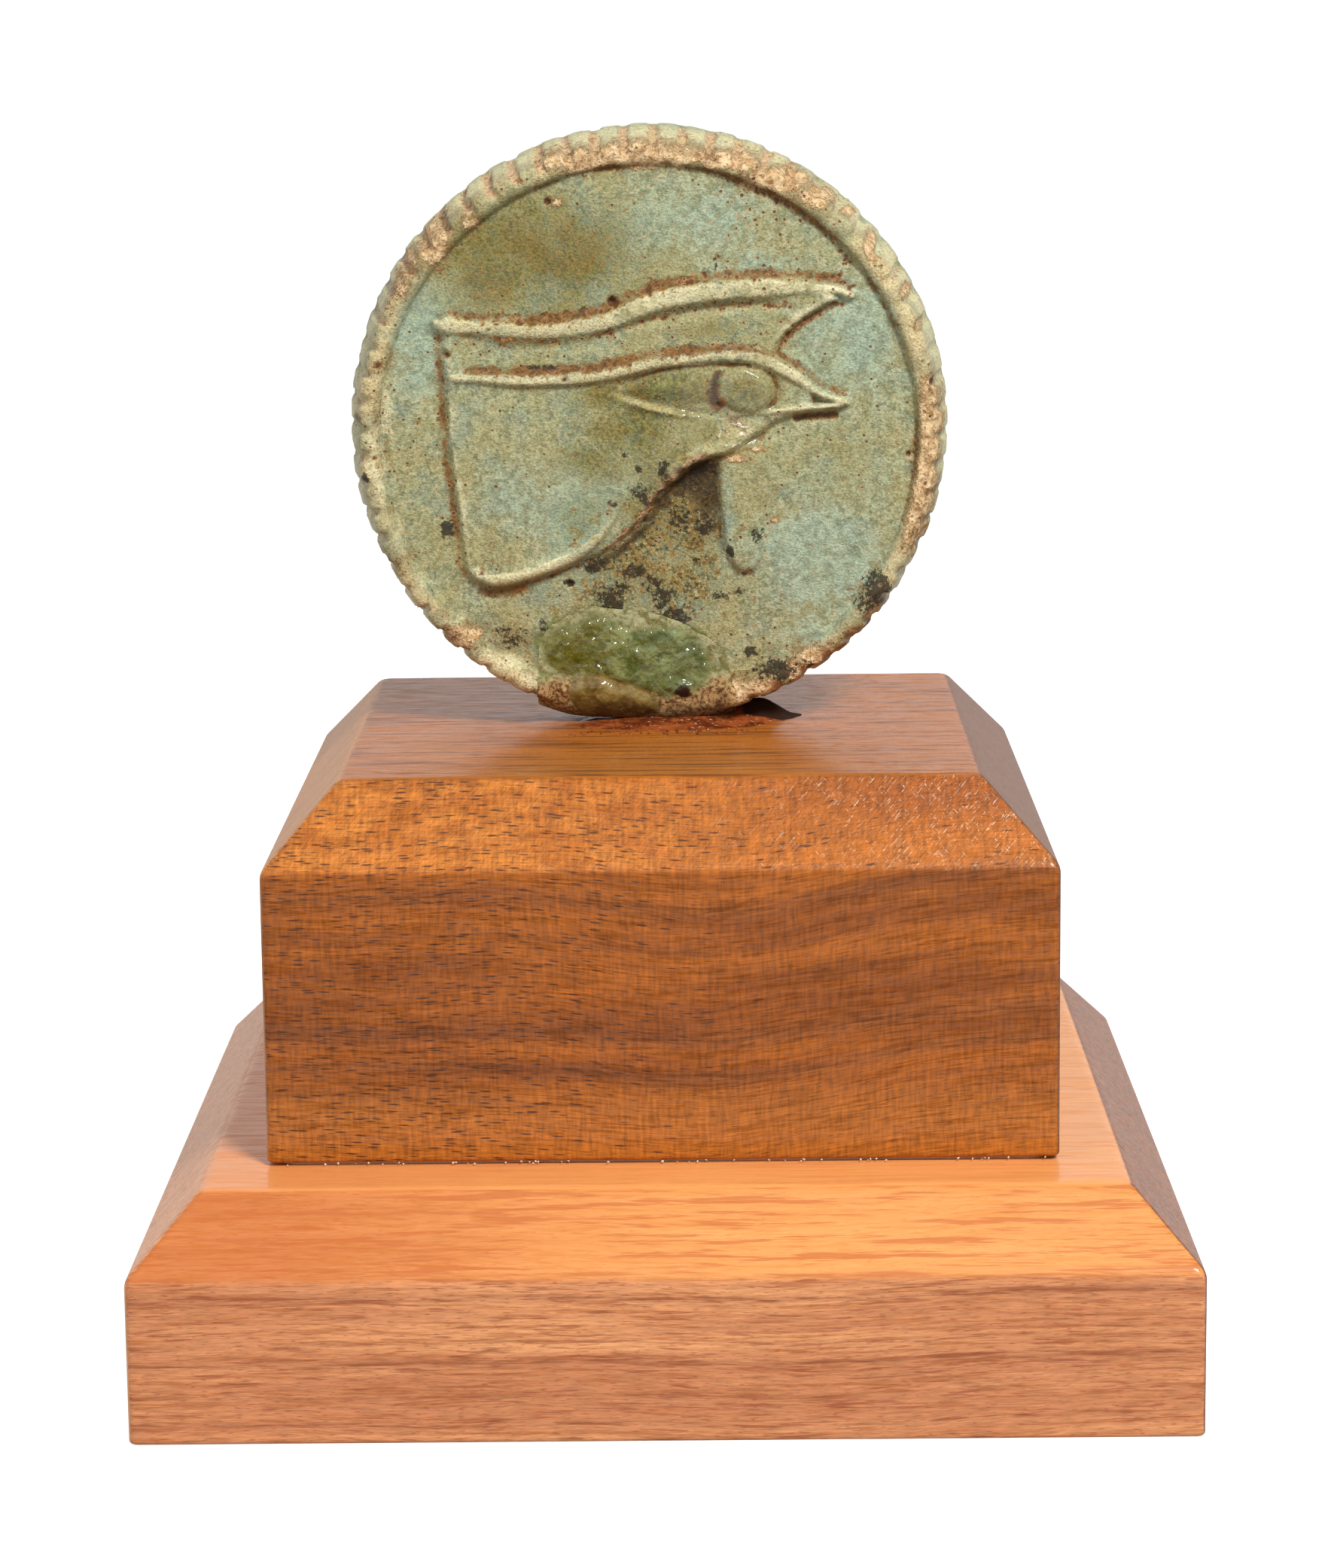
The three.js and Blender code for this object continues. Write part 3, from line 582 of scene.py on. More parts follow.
OLIVE = [
    (905, 600, 2.4, 2.8, 0.9), (870, 640, 2.6, 2.4, 0.85), (840, 675, 2.2, 1.8, 0.75),
    (800, 528, 4.0, 2.0, 0.95), (800, 560, 3.0, 2.2, 0.8), (942, 575, 1.8, 1.8, 0.85),
    (840, 515, 1.5, 1.0, 0.9), (700, 340, 10.0, 6.5, 1.0), (850, 560, 6.5, 3.6, 1.0),
    (880, 700, 4.5, 5.0, 0.6), (890, 515, 4.5, 1.8, 1.3), (990, 515, 3.0, 1.8, 0.9),
    (790, 610, 4.0, 3.0, 0.8), (775, 695, 3.8, 4.2, 0.6), (960, 440, 6.0, 1.8, 0.55),
    (930, 510, 5.5, 1.8, 0.8), (1130, 600, 3.5, 5.0, 0.4), (700, 450, 8.0, 1.5, 0.4),
    (560, 690, 2.6, 5.0, 0.4), (690, 770, 5.0, 1.6, 0.35), (1010, 590, 2.6, 1.4, 0.5),
    (900, 600, 4.0, 2.4, 0.5), (640, 640, 2.5, 4.5, 0.2),
]
PEACH = [
    (738, 270, 0.7, 0.5, 0.75), (775, 214, 3.6, 1.2, 1.0), (840, 206, 4.5, 1.2, 1.1),
    (905, 206, 3.0, 1.1, 1.0), (970, 214, 3.0, 1.0, 0.9), (1030, 238, 3.6, 1.2, 1.0),
    (1085, 262, 1.8, 1.2, 0.9), (575, 315, 1.6, 3.0, 1.0), (545, 350, 0.9, 1.4, 0.8),
    (535, 375, 0.9, 1.4, 1.0), (612, 845, 2.4, 1.2, 0.95), (1238, 560, 1.2, 4.2, 1.1),
    (1232, 640, 1.4, 4.0, 1.0), (1222, 700, 1.3, 3.4, 1.1), (1157, 325, 0.7, 1.2, 0.9),
    (1130, 283, 0.7, 0.5, 0.8), (1205, 387, 0.8, 0.7, 0.8), (1222, 430, 0.7, 0.6, 0.7),
    (1090, 870, 3.2, 1.4, 0.75), (1140, 842, 1.6, 1.2, 0.75), (1000, 915, 3.5, 1.4, 1.0),
    (1065, 890, 2.5, 1.3, 0.9), (976, 607, 1.5, 0.45, 0.95), (982, 560, 2.2, 1.2, 0.42),
    (1004, 595, 1.3, 0.4, 0.7), (1030, 690, 0.4, 0.5, 0.8), (985, 700, 0.35, 0.4, 0.7),
    (506, 745, 0.8, 1.6, 0.6), (520, 480, 0.7, 1.8, 0.4), (512, 600, 0.8, 2.4, 0.35),
    (1165, 815, 1.2, 1.8, 0.9), (628, 296, 1.2, 1.2, 0.7),
]
CREAM = [
    (660, 880, 3.6, 1.4, 1.0), (700, 905, 3.6, 1.2, 1.0), (560, 780, 1.6, 3.4, 0.5),
    (690, 428, 6.5, 0.7, 1.0), (850, 205, 6.5, 1.2, 0.9), (600, 830, 1.5, 2.0, 0.7),
    (500, 620, 1.2, 6.0, 0.9), (512, 540, 1.0, 4.0, 0.8), (1230, 470, 1.2, 2.0, 0.5),
    (700, 240, 3.0, 1.4, 0.6), (640, 280, 2.0, 1.6, 0.6), (1020, 830, 5.0, 2.2, 0.3),
    (972, 572, 2.6, 1.6, 0.6), (530, 700, 1.2, 3.0, 0.6), (985, 568, 2.6, 1.2, 0.8),
]

wander = rough_noise(grid_x, grid_y, 2.4, 31)
fine_wander = rough_noise(grid_x, grid_y, 0.8, 35)
crevice = smooth(blurred(height, 0.55) - height, 0.03, 0.26)
# Painted highlight with wear: the crests are painted pale, partly abraded glaze and partly the light that
# falls on them.
crest_wear_and_highlight = smooth(height - blurred(height, 1.1), 0.03, 0.3) * (0.75 + 0.45 * wander)
crest_wear_and_highlight = crest_wear_and_highlight * (1 - 0.75 * smooth(drop_depth, -0.6, 0.4)) * (1 - 0.6 * smooth(almond_depth, -0.4, 0.3))
broken_edge = smooth(grid_x, -6, -2.5) * (1 - smooth(grid_x, 5, 8)) * (grid_y < 1)
broken_edge = broken_edge * np.exp(-((chipped_depth - 0.28) / 0.36) ** 2)
crest_wear_and_highlight = crest_wear_and_highlight * (1 - 0.9 * broken_edge)
bands = np.maximum.reduce([beside(*band) for band in STAIN_BANDS])
dark_dirt_and_shade_bands = np.maximum.reduce([beside(*band) for band in DARK_DIRT_AND_SHADE_BANDS])
pitted_bands = np.maximum.reduce([beside(*band) for band in PITTED_BANDS])
face_turn = np.degrees(np.arctan2(grid_y, grid_x))
first, last = DOTTED_RIM
dotted = smooth(face_turn, first, first + 6) * (1 - smooth(face_turn, last - 6, last))
dotted = dotted * np.exp(-((np.hypot(grid_x, grid_y) - field_radius + 0.5) / 0.4) ** 2)
cracks = np.maximum.reduce([beside(crack, 0, 0.2, 1.0) for crack in CRACKS])
rubbed_pale = patches(CREAM) * (0.9 + 0.4 * fine_wander)
masks = {
    "stain": np.clip(np.maximum(bands * (0.85 + 0.5 * wander), 0.75 * crevice), 0, 1.2),
    "rust": patches(RUST) * (1 + 0.4 * wander),
    "deep": np.maximum(patches(DARK_DIRT_AND_SHADE), dark_dirt_and_shade_bands) * (1 + 0.35 * fine_wander),
    "earth": patches(EARTH) * (1 + 0.3 * wander),
    "edge": broken_edge,
    "pitted": np.maximum.reduce([patches(PITTED), pitted_bands, dotted]),
    "soot": patches(SOOT),
    "blue": patches(BLUE) * (0.9 + 0.5 * wander),
    "olive": patches(OLIVE) * (0.9 + 0.5 * wander),
    "peach": patches(PEACH) * (1 + 0.5 * fine_wander),
    "cream": np.clip(np.maximum.reduce([crest_wear_and_highlight, cracks, rubbed_pale]), 0, 1.2),
    "pit": smooth(pits, 0.06, 0.22),
}
print({name: round(float(mask.mean()), 3) for name, mask in masks.items()})

# %% [markdown]
# The broken foot
#
# The front of the foot was lost, and a tinted resin fills it. The disc keeps a shallow bed there, and
# the resin is a lens of its own that lies in the bed. Both follow one outline, which starts in the
# field and runs out past the rim.

# %% The outline of the break and the patch over the eye
BREAK = [
    (-0.42, -0.85), (-0.38, -0.72), (-0.255, -0.675), (-0.07, -0.685), (0.115, -0.73), (0.235, -0.8),
    (0.29, -0.92), (0.31, -1.06),
]
BED_DEPTH = 2.6
BREAK_RAG = 0.75
even_break = line_of(BREAK)
rag = [rough_noise(even_break[:, 0], even_break[:, 1], 2.4, seed) for seed in (63, 67)]
break_line = even_break + BREAK_RAG * np.column_stack(rag)
past_rim = -MEDAL_RADIUS - 2
break_loop = np.vstack([break_line, [(break_line[-1][0], past_rim)], [(break_line[0][0], past_rim)]])
break_depth = depth_in(break_loop, 3)


def sampled(grid, x, y):
    """Reads a grid between its points."""
    column = np.clip((x + GRID_REACH) / GRID_STEP, 0, len(grid_axis) - 1.001)
    row = np.clip((y + GRID_REACH) / GRID_STEP, 0, len(grid_axis) - 1.001)
    left = column.astype(int)
    below = row.astype(int)
    along = column - left
    up = row - below
    lower = grid[below, left] * (1 - along) + grid[below, left + 1] * along
    upper = grid[below + 1, left] * (1 - along) + grid[below + 1, left + 1] * along
    return lower * (1 - up) + upper * up


print("break is", round(float(break_line[-1][0] - break_line[0][0]), 1), "mm wide")

# %% [markdown]
# From heights to a mesh
#
# A square grid bent into a disc covers the field with even quads. Its border becomes the first ring
# of the rim, and more rings follow the section of the rim and the side round to the back, where the
# rings halve their count again and again until they close in the middle. The result is one closed
# skin with its detail where the relief is.

# %% Rings of the section
FIELD_CELLS = 208
COLUMNS = 4 * FIELD_CELLS
RIM_ROWS = 40
SECTION_CORNERS = [
    (field_radius, 0), (field_radius + RIM_WALL_SLOPE, FIELD_SUNK), (front_radius, FIELD_SUNK),
    (MEDAL_RADIUS, back_face + SHOULDER_RUN), (MEDAL_RADIUS, back_face), (MEDAL_RADIUS - 1.6, back_face),
]
SECTION_SOFTS = [0.85, 0.95, 2.0, 1.2]


def softened(corners, softs, steps=8, guard=0.0):
    """A line of corners, each inner one drawn as a short curve, with a guard point on both sides."""
    points = [np.array(corners[0], float)]
    for before, corner, after, soft in zip(corners, corners[1:], corners[2:], softs):
        before, corner, after = (np.array(p, float) for p in (before, corner, after))
        back = (before - corner) / np.linalg.norm(before - corner)
        ahead = (after - corner) / np.linalg.norm(after - corner)
        start = corner + back * soft
        end = corner + ahead * soft
        shares = np.linspace(0, 1, steps)
        curved = [start * (1 - t) ** 2 + 2 * corner * t * (1 - t) + end * t ** 2 for t in shares]
        if guard:
            curved = [start + back * guard, *curved, end + ahead * guard]
        points += curved
    return np.array(points + [np.array(corners[-1], float)])


def evenly(points, count):
    """The same line with its points spaced evenly."""
    runs = np.concatenate([[0], np.cumsum(np.hypot(*np.diff(points, axis=0).T))])
    wanted = np.linspace(0, runs[-1], count)
    return np.column_stack([np.interp(wanted, runs, points[:, k]) for k in (0, 1)])


section = evenly(softened(SECTION_CORNERS, SECTION_SOFTS), RIM_ROWS + 1)
section_along = np.gradient(section, axis=0)
section_out = np.column_stack([section_along[:, 1], -section_along[:, 0]])
section_out = -section_out / np.linalg.norm(section_out, axis=1)[:, None]
print("section runs", np.round(section[0], 2), "to", np.round(section[-1], 2))

# %% The square grid bent into a disc
steps = np.linspace(-1, 1, FIELD_CELLS + 1)
side_a, side_b = np.meshgrid(steps, steps, indexing="ij")
wide = np.abs(side_a) > np.abs(side_b)
reach = np.where(wide, side_a, side_b)
safe = np.where(reach == 0, 1, reach)
turn = np.where(wide, math.pi / 4 * side_b / safe, math.pi / 2 - math.pi / 4 * side_a / safe)
field_x = field_radius * reach * np.cos(turn)
field_y = field_radius * reach * np.sin(turn)
number = np.arange((FIELD_CELLS + 1) ** 2).reshape(FIELD_CELLS + 1, FIELD_CELLS + 1)
border = np.concatenate([number[-1, :-1], number[:0:-1, -1], number[0, :0:-1], number[:-1, 0]])
angles = -math.pi / 4 + np.arange(COLUMNS) * 2 * math.pi / COLUMNS
print("field", number.size, "points, border", len(border))

# %% Rings of the rim, the side and the back
RIM_LUMP = 0.24
WEAR_DEPTH = 0.55
BACK_RINGS = [
    (radius, max(13, COLUMNS // 2 ** halvings))
    for halvings, radii in [
        (1, (28.7, 28.2)), (2, (27.5, 26.6)), (3, np.arange(25.6, 13, -1.05)), (4, (12, 10.6, 9.2, 7.8)),
        (5, (6.4, 5.0)), (6, (3.4, 1.8)),
    ]
    for radius in radii
]

ring_points = []
ring_sizes = []
for row in range(1, RIM_ROWS + 1):
    radius, rise = section[row]
    x = radius * np.cos(angles)
    y = radius * np.sin(angles)
    free = smooth(np.array(float(row)), 0, 4)
    lumps = RIM_LUMP * rough_noise(angles * 30, np.full(COLUMNS, row * 0.35), 3.2, 41)
    lumps = lumps + 0.06 * rough_noise(angles * 30, np.full(COLUMNS, row * 0.35), 0.9, 45)
    wear_and_glint_share = sampled(masks["peach"], x, y) * smooth(np.array(rise), back_face, back_face + 6)
    scraped = WEAR_DEPTH * smooth(wear_and_glint_share, 0.3, 1.0) * (0.6 + 0.4 * rough_noise(angles * 30, y, 0.9, 48))
    push = free * np.minimum(lumps - scraped - 0.05, 0)
    out_r, out_z = section_out[row]
    ring_points.append(np.column_stack([
        (radius + out_r * push) * np.cos(angles),
        (radius + out_r * push) * np.sin(angles),
        rise + out_z * push,
    ]))
    ring_sizes.append(COLUMNS)
for radius, count in BACK_RINGS:
    around = -math.pi / 4 + np.arange(count) * 2 * math.pi / count
    x = radius * np.cos(around)
    y = radius * np.sin(around)
    ring_points.append(np.column_stack([x, y, back_face + 0.16 * rough_noise(x, y, 4.5, 51) + 0.1]))
    ring_sizes.append(count)
print(len(ring_sizes), "rings behind the field")


# %% Join the rings
def quads_between(first, second):
    """Faces from one ring of point numbers to the next, of equal or half its count."""
    after_first = np.roll(first, -1)
    after_second = np.roll(second, -1)
    if len(first) == len(second):
        return np.column_stack([first, second, after_second, after_first]).tolist()
    even, odd, following = first[::2], first[1::2], after_first[1::2]
    faces = np.column_stack([even, second, odd]).tolist()
    faces += np.column_stack([odd, second, after_second]).tolist()
    return faces + np.column_stack([odd, after_second, following]).tolist()


field_z = sampled(height, field_x.ravel(), field_y.ravel())
points = np.vstack([np.column_stack([field_x.ravel(), field_y.ravel(), field_z]), *ring_points])
faces = np.column_stack([
    number[:-1, :-1].ravel(), number[1:, :-1].ravel(), number[1:, 1:].ravel(), number[:-1, 1:].ravel(),
]).tolist()
previous = border
first_free = number.size
for size in ring_sizes:
    ring = np.arange(first_free, first_free + size)
    faces += quads_between(previous, ring)
    previous = ring
    first_free += size
points = np.vstack([points, [0, 0, back_face + 0.1]])
faces += [[a, first_free, b] for a, b in zip(previous, np.roll(previous, -1))]

bed = -BED_DEPTH + 0.2 * rough_noise(points[:, 0], points[:, 1], 1.5, 61)
in_break = smooth(sampled(break_depth, points[:, 0], points[:, 1]), 0.05, 0.4) * (points[:, 2] > bed)
points[:, 2] = points[:, 2] * (1 - in_break) + bed * in_break
print(len(points), "points and", len(faces), "faces")


# %% A mesh object from points and faces
def mesh_object(name, points, faces, smooth_shading=True):
    """A new object in the scene from points and faces."""
    mesh = bpy.data.meshes.new(name)
    mesh.from_pydata(np.asarray(points, float).tolist(), [], faces)
    mesh.polygons.foreach_set("use_smooth", [smooth_shading] * len(mesh.polygons))
    mesh.update()
    made = bpy.data.objects.new(name, mesh)
    bpy.context.scene.collection.objects.link(made)
    return made


def keep_values(made, name, values):
    """Keeps one value for each point, which the finish can read by its name."""
    attribute = made.data.attributes.new(name, "FLOAT", "POINT")
    attribute.data.foreach_set("value", np.asarray(values, np.float32))


disc = mesh_object("faience_disc", points, faces)
front = smooth(points[:, 2], back_face + 0.5, back_face + 6)
for name, mask in masks.items():
    keep_values(disc, name, sampled(mask, points[:, 0], points[:, 1]) * front)
radial = np.hypot(points[:, 0], points[:, 1])
at_top = smooth(points[:, 1], 6, 21)
at_left = smooth(-points[:, 0], 14, 26)
marked = np.maximum(at_top, 0.75 * at_left)
rib_start = front_radius - 0.8 - 1.2 * marked
rib_reach = smooth(radial, rib_start, front_radius - 0.1) * (0.55 + 0.45 * marked)
rib_reach = rib_reach * smooth(points[:, 2], back_face + 0.2, back_face + 2.2)
keep_values(disc, "rib_reach", rib_reach)
print("disc has", sum(len(face) - 2 for face in faces), "triangles")

# %% Values of the rim and round the resin
RIM_FOOT_WIDE = 0.5
GREEN_AREA = [
    (718, 850), (740, 832), (768, 826), (790, 812), (812, 822), (840, 836), (870, 830), (905, 832),
    (930, 848), (950, 884), (940, 908), (917, 927), (880, 928), (849, 921), (815, 906), (780, 900),
    (745, 898), (722, 880),
]
on_rim = smooth(radial, field_radius + 0.2, field_radius + 1.1) * front
# The side is painted paler: partly the glaze's own colour, partly painted light where the side falls into
# shade.
side_tone_and_painted_light = smooth(-points[:, 2], 0.2, 2.2) * front
keep_values(disc, "side", side_tone_and_painted_light)
on_rim = on_rim * (1 - 0.6 * side_tone_and_painted_light)
turn = np.arctan2(points[:, 1], points[:, 0])
patchy = rough_noise(turn * 30, radial * 0.6, 3.4, 101)
# Painted shade with dirt: a brown line at the inner foot of the rim wall, along the top and the upper right.
rim_foot = np.exp(-((radial - field_radius - 0.05) / RIM_FOOT_WIDE) ** 2) * front
foot_reach = np.maximum(at_top, 0.55 * smooth(points[:, 0], 8, 14) * smooth(points[:, 1], -18, -12))
rim_foot = rim_foot * foot_reach * smooth(points[:, 0], -15, -10) * np.clip(0.85 + 1.1 * patchy, 0, 1.3)
dirty_ribs = smooth(turn, 0.9, 1.2) * (1 - smooth(turn, 2.5, 2.9))
keep_values(disc, "rim", on_rim)
keep_values(disc, "rim_foot", rim_foot)
dirty_ribs = np.maximum(dirty_ribs, 0.25 * (points[:, 0] < -18))
keep_values(disc, "rib_dirt", np.clip(0.16 + 0.8 * dirty_ribs + 0.5 * patchy, 0, 1))
green_depth = depth_in(np.array([on_face(u, v) for u, v in GREEN_AREA]), 3)
soaked = smooth(sampled(green_depth, points[:, 0], points[:, 1]), -2.0, 0.6)
keep_values(disc, "soaked", soaked * front)
print("rim values kept")

# %% [markdown]
# Node trees in few words
#
# Both the shape rules and the finishes are node trees. A small helper adds a node, fills its first
# sockets with values or links and gives back what is needed, so that a recipe reads from top to
# bottom. Colours lie over each other like coats of paint, so one helper lays a list of them. Sizes
# of noise are written in millimetres, as they would be measured on the piece.


# %% Helpers for node trees
def paint(red, green, blue):
    """A colour as seen on a screen, 0 to 255, made linear."""
    shares = [channel / 255 for channel in (red, green, blue)]
    return tuple(s / 12.92 if s <= 0.04045 else ((s + 0.055) / 1.055) ** 2.4 for s in shares) + (1.0,)


class Wires:
    """Adds nodes to a tree and joins them."""

    def __init__(self, tree):
        self.tree = tree

    def put(self, socket, value):
        """Joins a socket to another one or gives it a value."""
        if isinstance(value, bpy.types.NodeSocket):
            self.tree.links.new(value, socket)
        elif value is not None:
            socket.default_value = value

    def add(self, kind, *values, **settings):
        """A new node with its settings and its first inputs filled."""
        node = self.tree.nodes.new(kind)
        for name, value in settings.items():
            setattr(node, name, value)
        for socket, value in zip(node.inputs, values):
            self.put(socket, value)
        return node

    def math(self, operation, *values):
        """The result of one step of arithmetic."""
        return self.add("ShaderNodeMath", *values, operation=operation).outputs[0]

    def plus(self, first, second):
        return self.math("ADD", first, second)

    def minus(self, first, second):
        return self.math("SUBTRACT", first, second)

    def times(self, first, second):
        return self.math("MULTIPLY", first, second)

    def times_plus(self, first, second, third):
        return self.math("MULTIPLY_ADD", first, second, third)

    def remap(self, value, low, high, new_low=0.0, new_high=1.0):
        """A soft step from one range to another."""
        settings = {"interpolation_type": "SMOOTHSTEP"}
        return self.add("ShaderNodeMapRange", value, low, high, new_low, new_high, **settings).outputs[0]

    def scaled(self, place, sizes):
        """Object coordinates counted in cells of these sizes in millimetres."""
        counts = tuple(1 / (size * MM) for size in sizes)
        return self.add("ShaderNodeVectorMath", place, counts, operation="MULTIPLY").outputs[0]

    def cells(self, place, sizes):
        """A random value for each cell of these sizes, and the distance to the cell's middle."""
        node = self.add("ShaderNodeTexVoronoi", self.scaled(place, sizes))
        node.inputs["Scale"].default_value = 1
        return node.outputs["Color"], node.outputs["Distance"]

    def noise(self, place, size, detail=2.0, rough=0.5):
        """Noise whose lumps have this size in millimetres."""
        sizes = size if isinstance(size, tuple) else (size, size, size)
        node = self.add("ShaderNodeTexNoise", self.scaled(place, sizes))
        node.inputs["Scale"].default_value = 1
        node.inputs["Detail"].default_value = detail
        node.inputs["Roughness"].default_value = rough
        return node.outputs[0]

    def mix(self, share, first, second, kind="MIX"):
        """Mixes two colours, each a socket or three numbers as for paint."""
        node = self.add("ShaderNodeMix", data_type="RGBA", blend_type=kind)
        for number, value in zip((0, 6, 7), (share, first, second)):
            self.put(node.inputs[number], paint(*value) if isinstance(value, tuple) else value)
        return node.outputs[2]

    def blend(self, grain, low, high, first, second):
        """Two colours in the proportion that a grain gives."""
        return self.mix(self.remap(grain, low, high), first, second)

    def lay(self, below, *coats):
        """Lays colours over each other. Each has a share, or a grain and its limits, and a strength."""
        for share, strength, colour in coats:
            share = self.remap(*share) if isinstance(share, tuple) else share
            below = self.mix(self.times(share, strength), below, colour)
        return below

    def broken(self, mask, grain, depth, low, high):
        """A soft mask, or the name of one, whose edge is broken up by grain."""
        mask = self.value(mask) if isinstance(mask, str) else mask
        return self.remap(self.times_plus(self.minus(grain, 0.5), depth, mask), low, high)


class Finish(Wires):
    """A material whose nodes are added one by one."""

    def __init__(self, name):
        self.material = bpy.data.materials.new(name)
        self.material.use_nodes = True
        super().__init__(self.material.node_tree)
        self.surface = self.tree.nodes["Principled BSDF"]
        self.place = self.add("ShaderNodeTexCoord").outputs["Object"]

    def value(self, name):
        """A value that the mesh keeps for each point."""
        return self.add("ShaderNodeAttribute", attribute_name=name).outputs["Fac"]

    def set(self, **values):
        """Fills inputs of the surface by their names."""
        for name, value in values.items():
            self.put(self.surface.inputs[name.replace("_", " ")], value)

    def bump(self, height, distance, strength=1.0, normal=None):
        """A normal that feels a height, its full range in millimetres."""
        node = self.add("ShaderNodeBump")
        node.inputs["Strength"].default_value = strength
        node.inputs["Distance"].default_value = distance * MM
        self.put(node.inputs["Height"], height)
        self.put(node.inputs["Normal"], normal)
        return node.outputs[0]


print("helpers ready")

# %% [markdown]
# The faience finish
#
# The glaze is a grey green made of grains a fifth of a millimetre across, some pale and some dark,
# with cloud-like changes of hue. Over it lie, in this order, the bluish clouds, a pale tint on the
# side that is partly painted light, the crests abraded pale and painted lighter as a highlight, the
# olive clouds, the bare peach body, the brown stains with painted shade at the foot of the rim wall,
# near-black marks of dirt and painted shade, and the black specks. Every mask is broken up by
# noise, because dirt never has a smooth edge. The same grain drives the bump, so light catches it.

# %% Mix the glaze
faience = Finish("faience_glaze")
place = faience.place
grain = faience.noise(place, (0.26, 0.2, 0.2), 2.0, 0.6)
cloud = faience.noise(place, 0.9, 3.0, 0.6)
drift = faience.noise(place, 4.5, 3.0, 0.55)
speck = faience.noise(place, 0.42, 3.0, 0.65)
dust = faience.noise(place, 0.33, 2.0, 0.7)
blue = faience.broken("blue", cloud, 1.3, 0.1, 1.0)
cream = faience.broken("cream", cloud, 0.9, 0.25, 1.0)
olive = faience.broken("olive", cloud, 1.3, 0.15, 1.0)
rim = faience.value("rim")

glaze = faience.lay(
    faience.blend(cloud, 0.38, 0.62, (130, 137, 105), (174, 177, 136)),
    ((drift, 0.42, 0.62), 0.6, (162, 152, 100)),
    ((drift, 0.46, 0.34), 0.5, (138, 152, 132)),
    (blue, 0.85, faience.blend(cloud, 0.36, 0.64, (138, 154, 132), (168, 186, 162))),
    # Painted light: a pale tint on the disc's side, over its own paler glaze.
    (faience.value("side"), 0.75, (222, 220, 172)),
    (rim, 0.75, faience.blend(drift, 0.4, 0.6, (172, 164, 122), (218, 196, 148))),
    # The crests' pale colour is partly wear and partly a painted highlight.
    (cream, 0.85, (226, 216, 172)),
)
glaze = faience.mix(1.0, glaze, faience.remap(grain, 0.34, 0.66, 0.78, 1.18), "MULTIPLY")
speckled = faience.remap(blue, 0.0, 1.0, 1.0, 0.4)
for grains, low, high, strength, colour in (
    (speck, 0.54, 0.64, 0.4, (196, 176, 134)), (speck, 0.44, 0.36, 0.4, (104, 100, 64)),
    (dust, 0.58, 0.66, 0.4, (214, 200, 164)), (dust, 0.42, 0.34, 0.5, (116, 88, 52)),
):
    glaze = faience.lay(glaze, (faience.times(faience.remap(grains, low, high), speckled), strength, colour))
olive_tone = faience.blend(speck, 0.4, 0.6, (176, 162, 108), (204, 194, 148))
glaze = faience.mix(faience.times(olive, 0.92), glaze, olive_tone, "MULTIPLY")
print("glaze mixed")

# %% Bare body, stains and specks over the glaze
earth_tone = faience.lay(
    faience.blend(speck, 0.42, 0.58, (44, 34, 12), (150, 136, 78)),
    ((cloud, 0.53, 0.62), 0.5, (138, 98, 44)),
    ((cloud, 0.46, 0.38), 0.6, (50, 40, 18)),
    ((dust, 0.57, 0.65), 0.75, (200, 190, 138)),
)
body = faience.lay(
    faience.blend(cloud, 0.35, 0.65, (186, 148, 102), (238, 208, 162)),
    ((speck, 0.54, 0.66), 0.75, (124, 84, 48)),
    ((dust, 0.6, 0.68), 0.6, (240, 220, 184)),
)
rim_chips = faience.times(rim, faience.remap(drift, 0.5, 0.7))
peach_value = faience.times_plus(rim_chips, 0.27, faience.value("peach"))
bare = faience.broken(peach_value, speck, 1.3, 0.42, 0.6)
skin = faience.lay(
    glaze,
    (faience.broken("earth", cloud, 2.2, 0.25, 0.85), 0.9, earth_tone),
    (faience.broken(peach_value, speck, 1.3, 0.2, 0.4), 0.5, (150, 116, 66)),
)
skin = faience.mix(bare, skin, body)

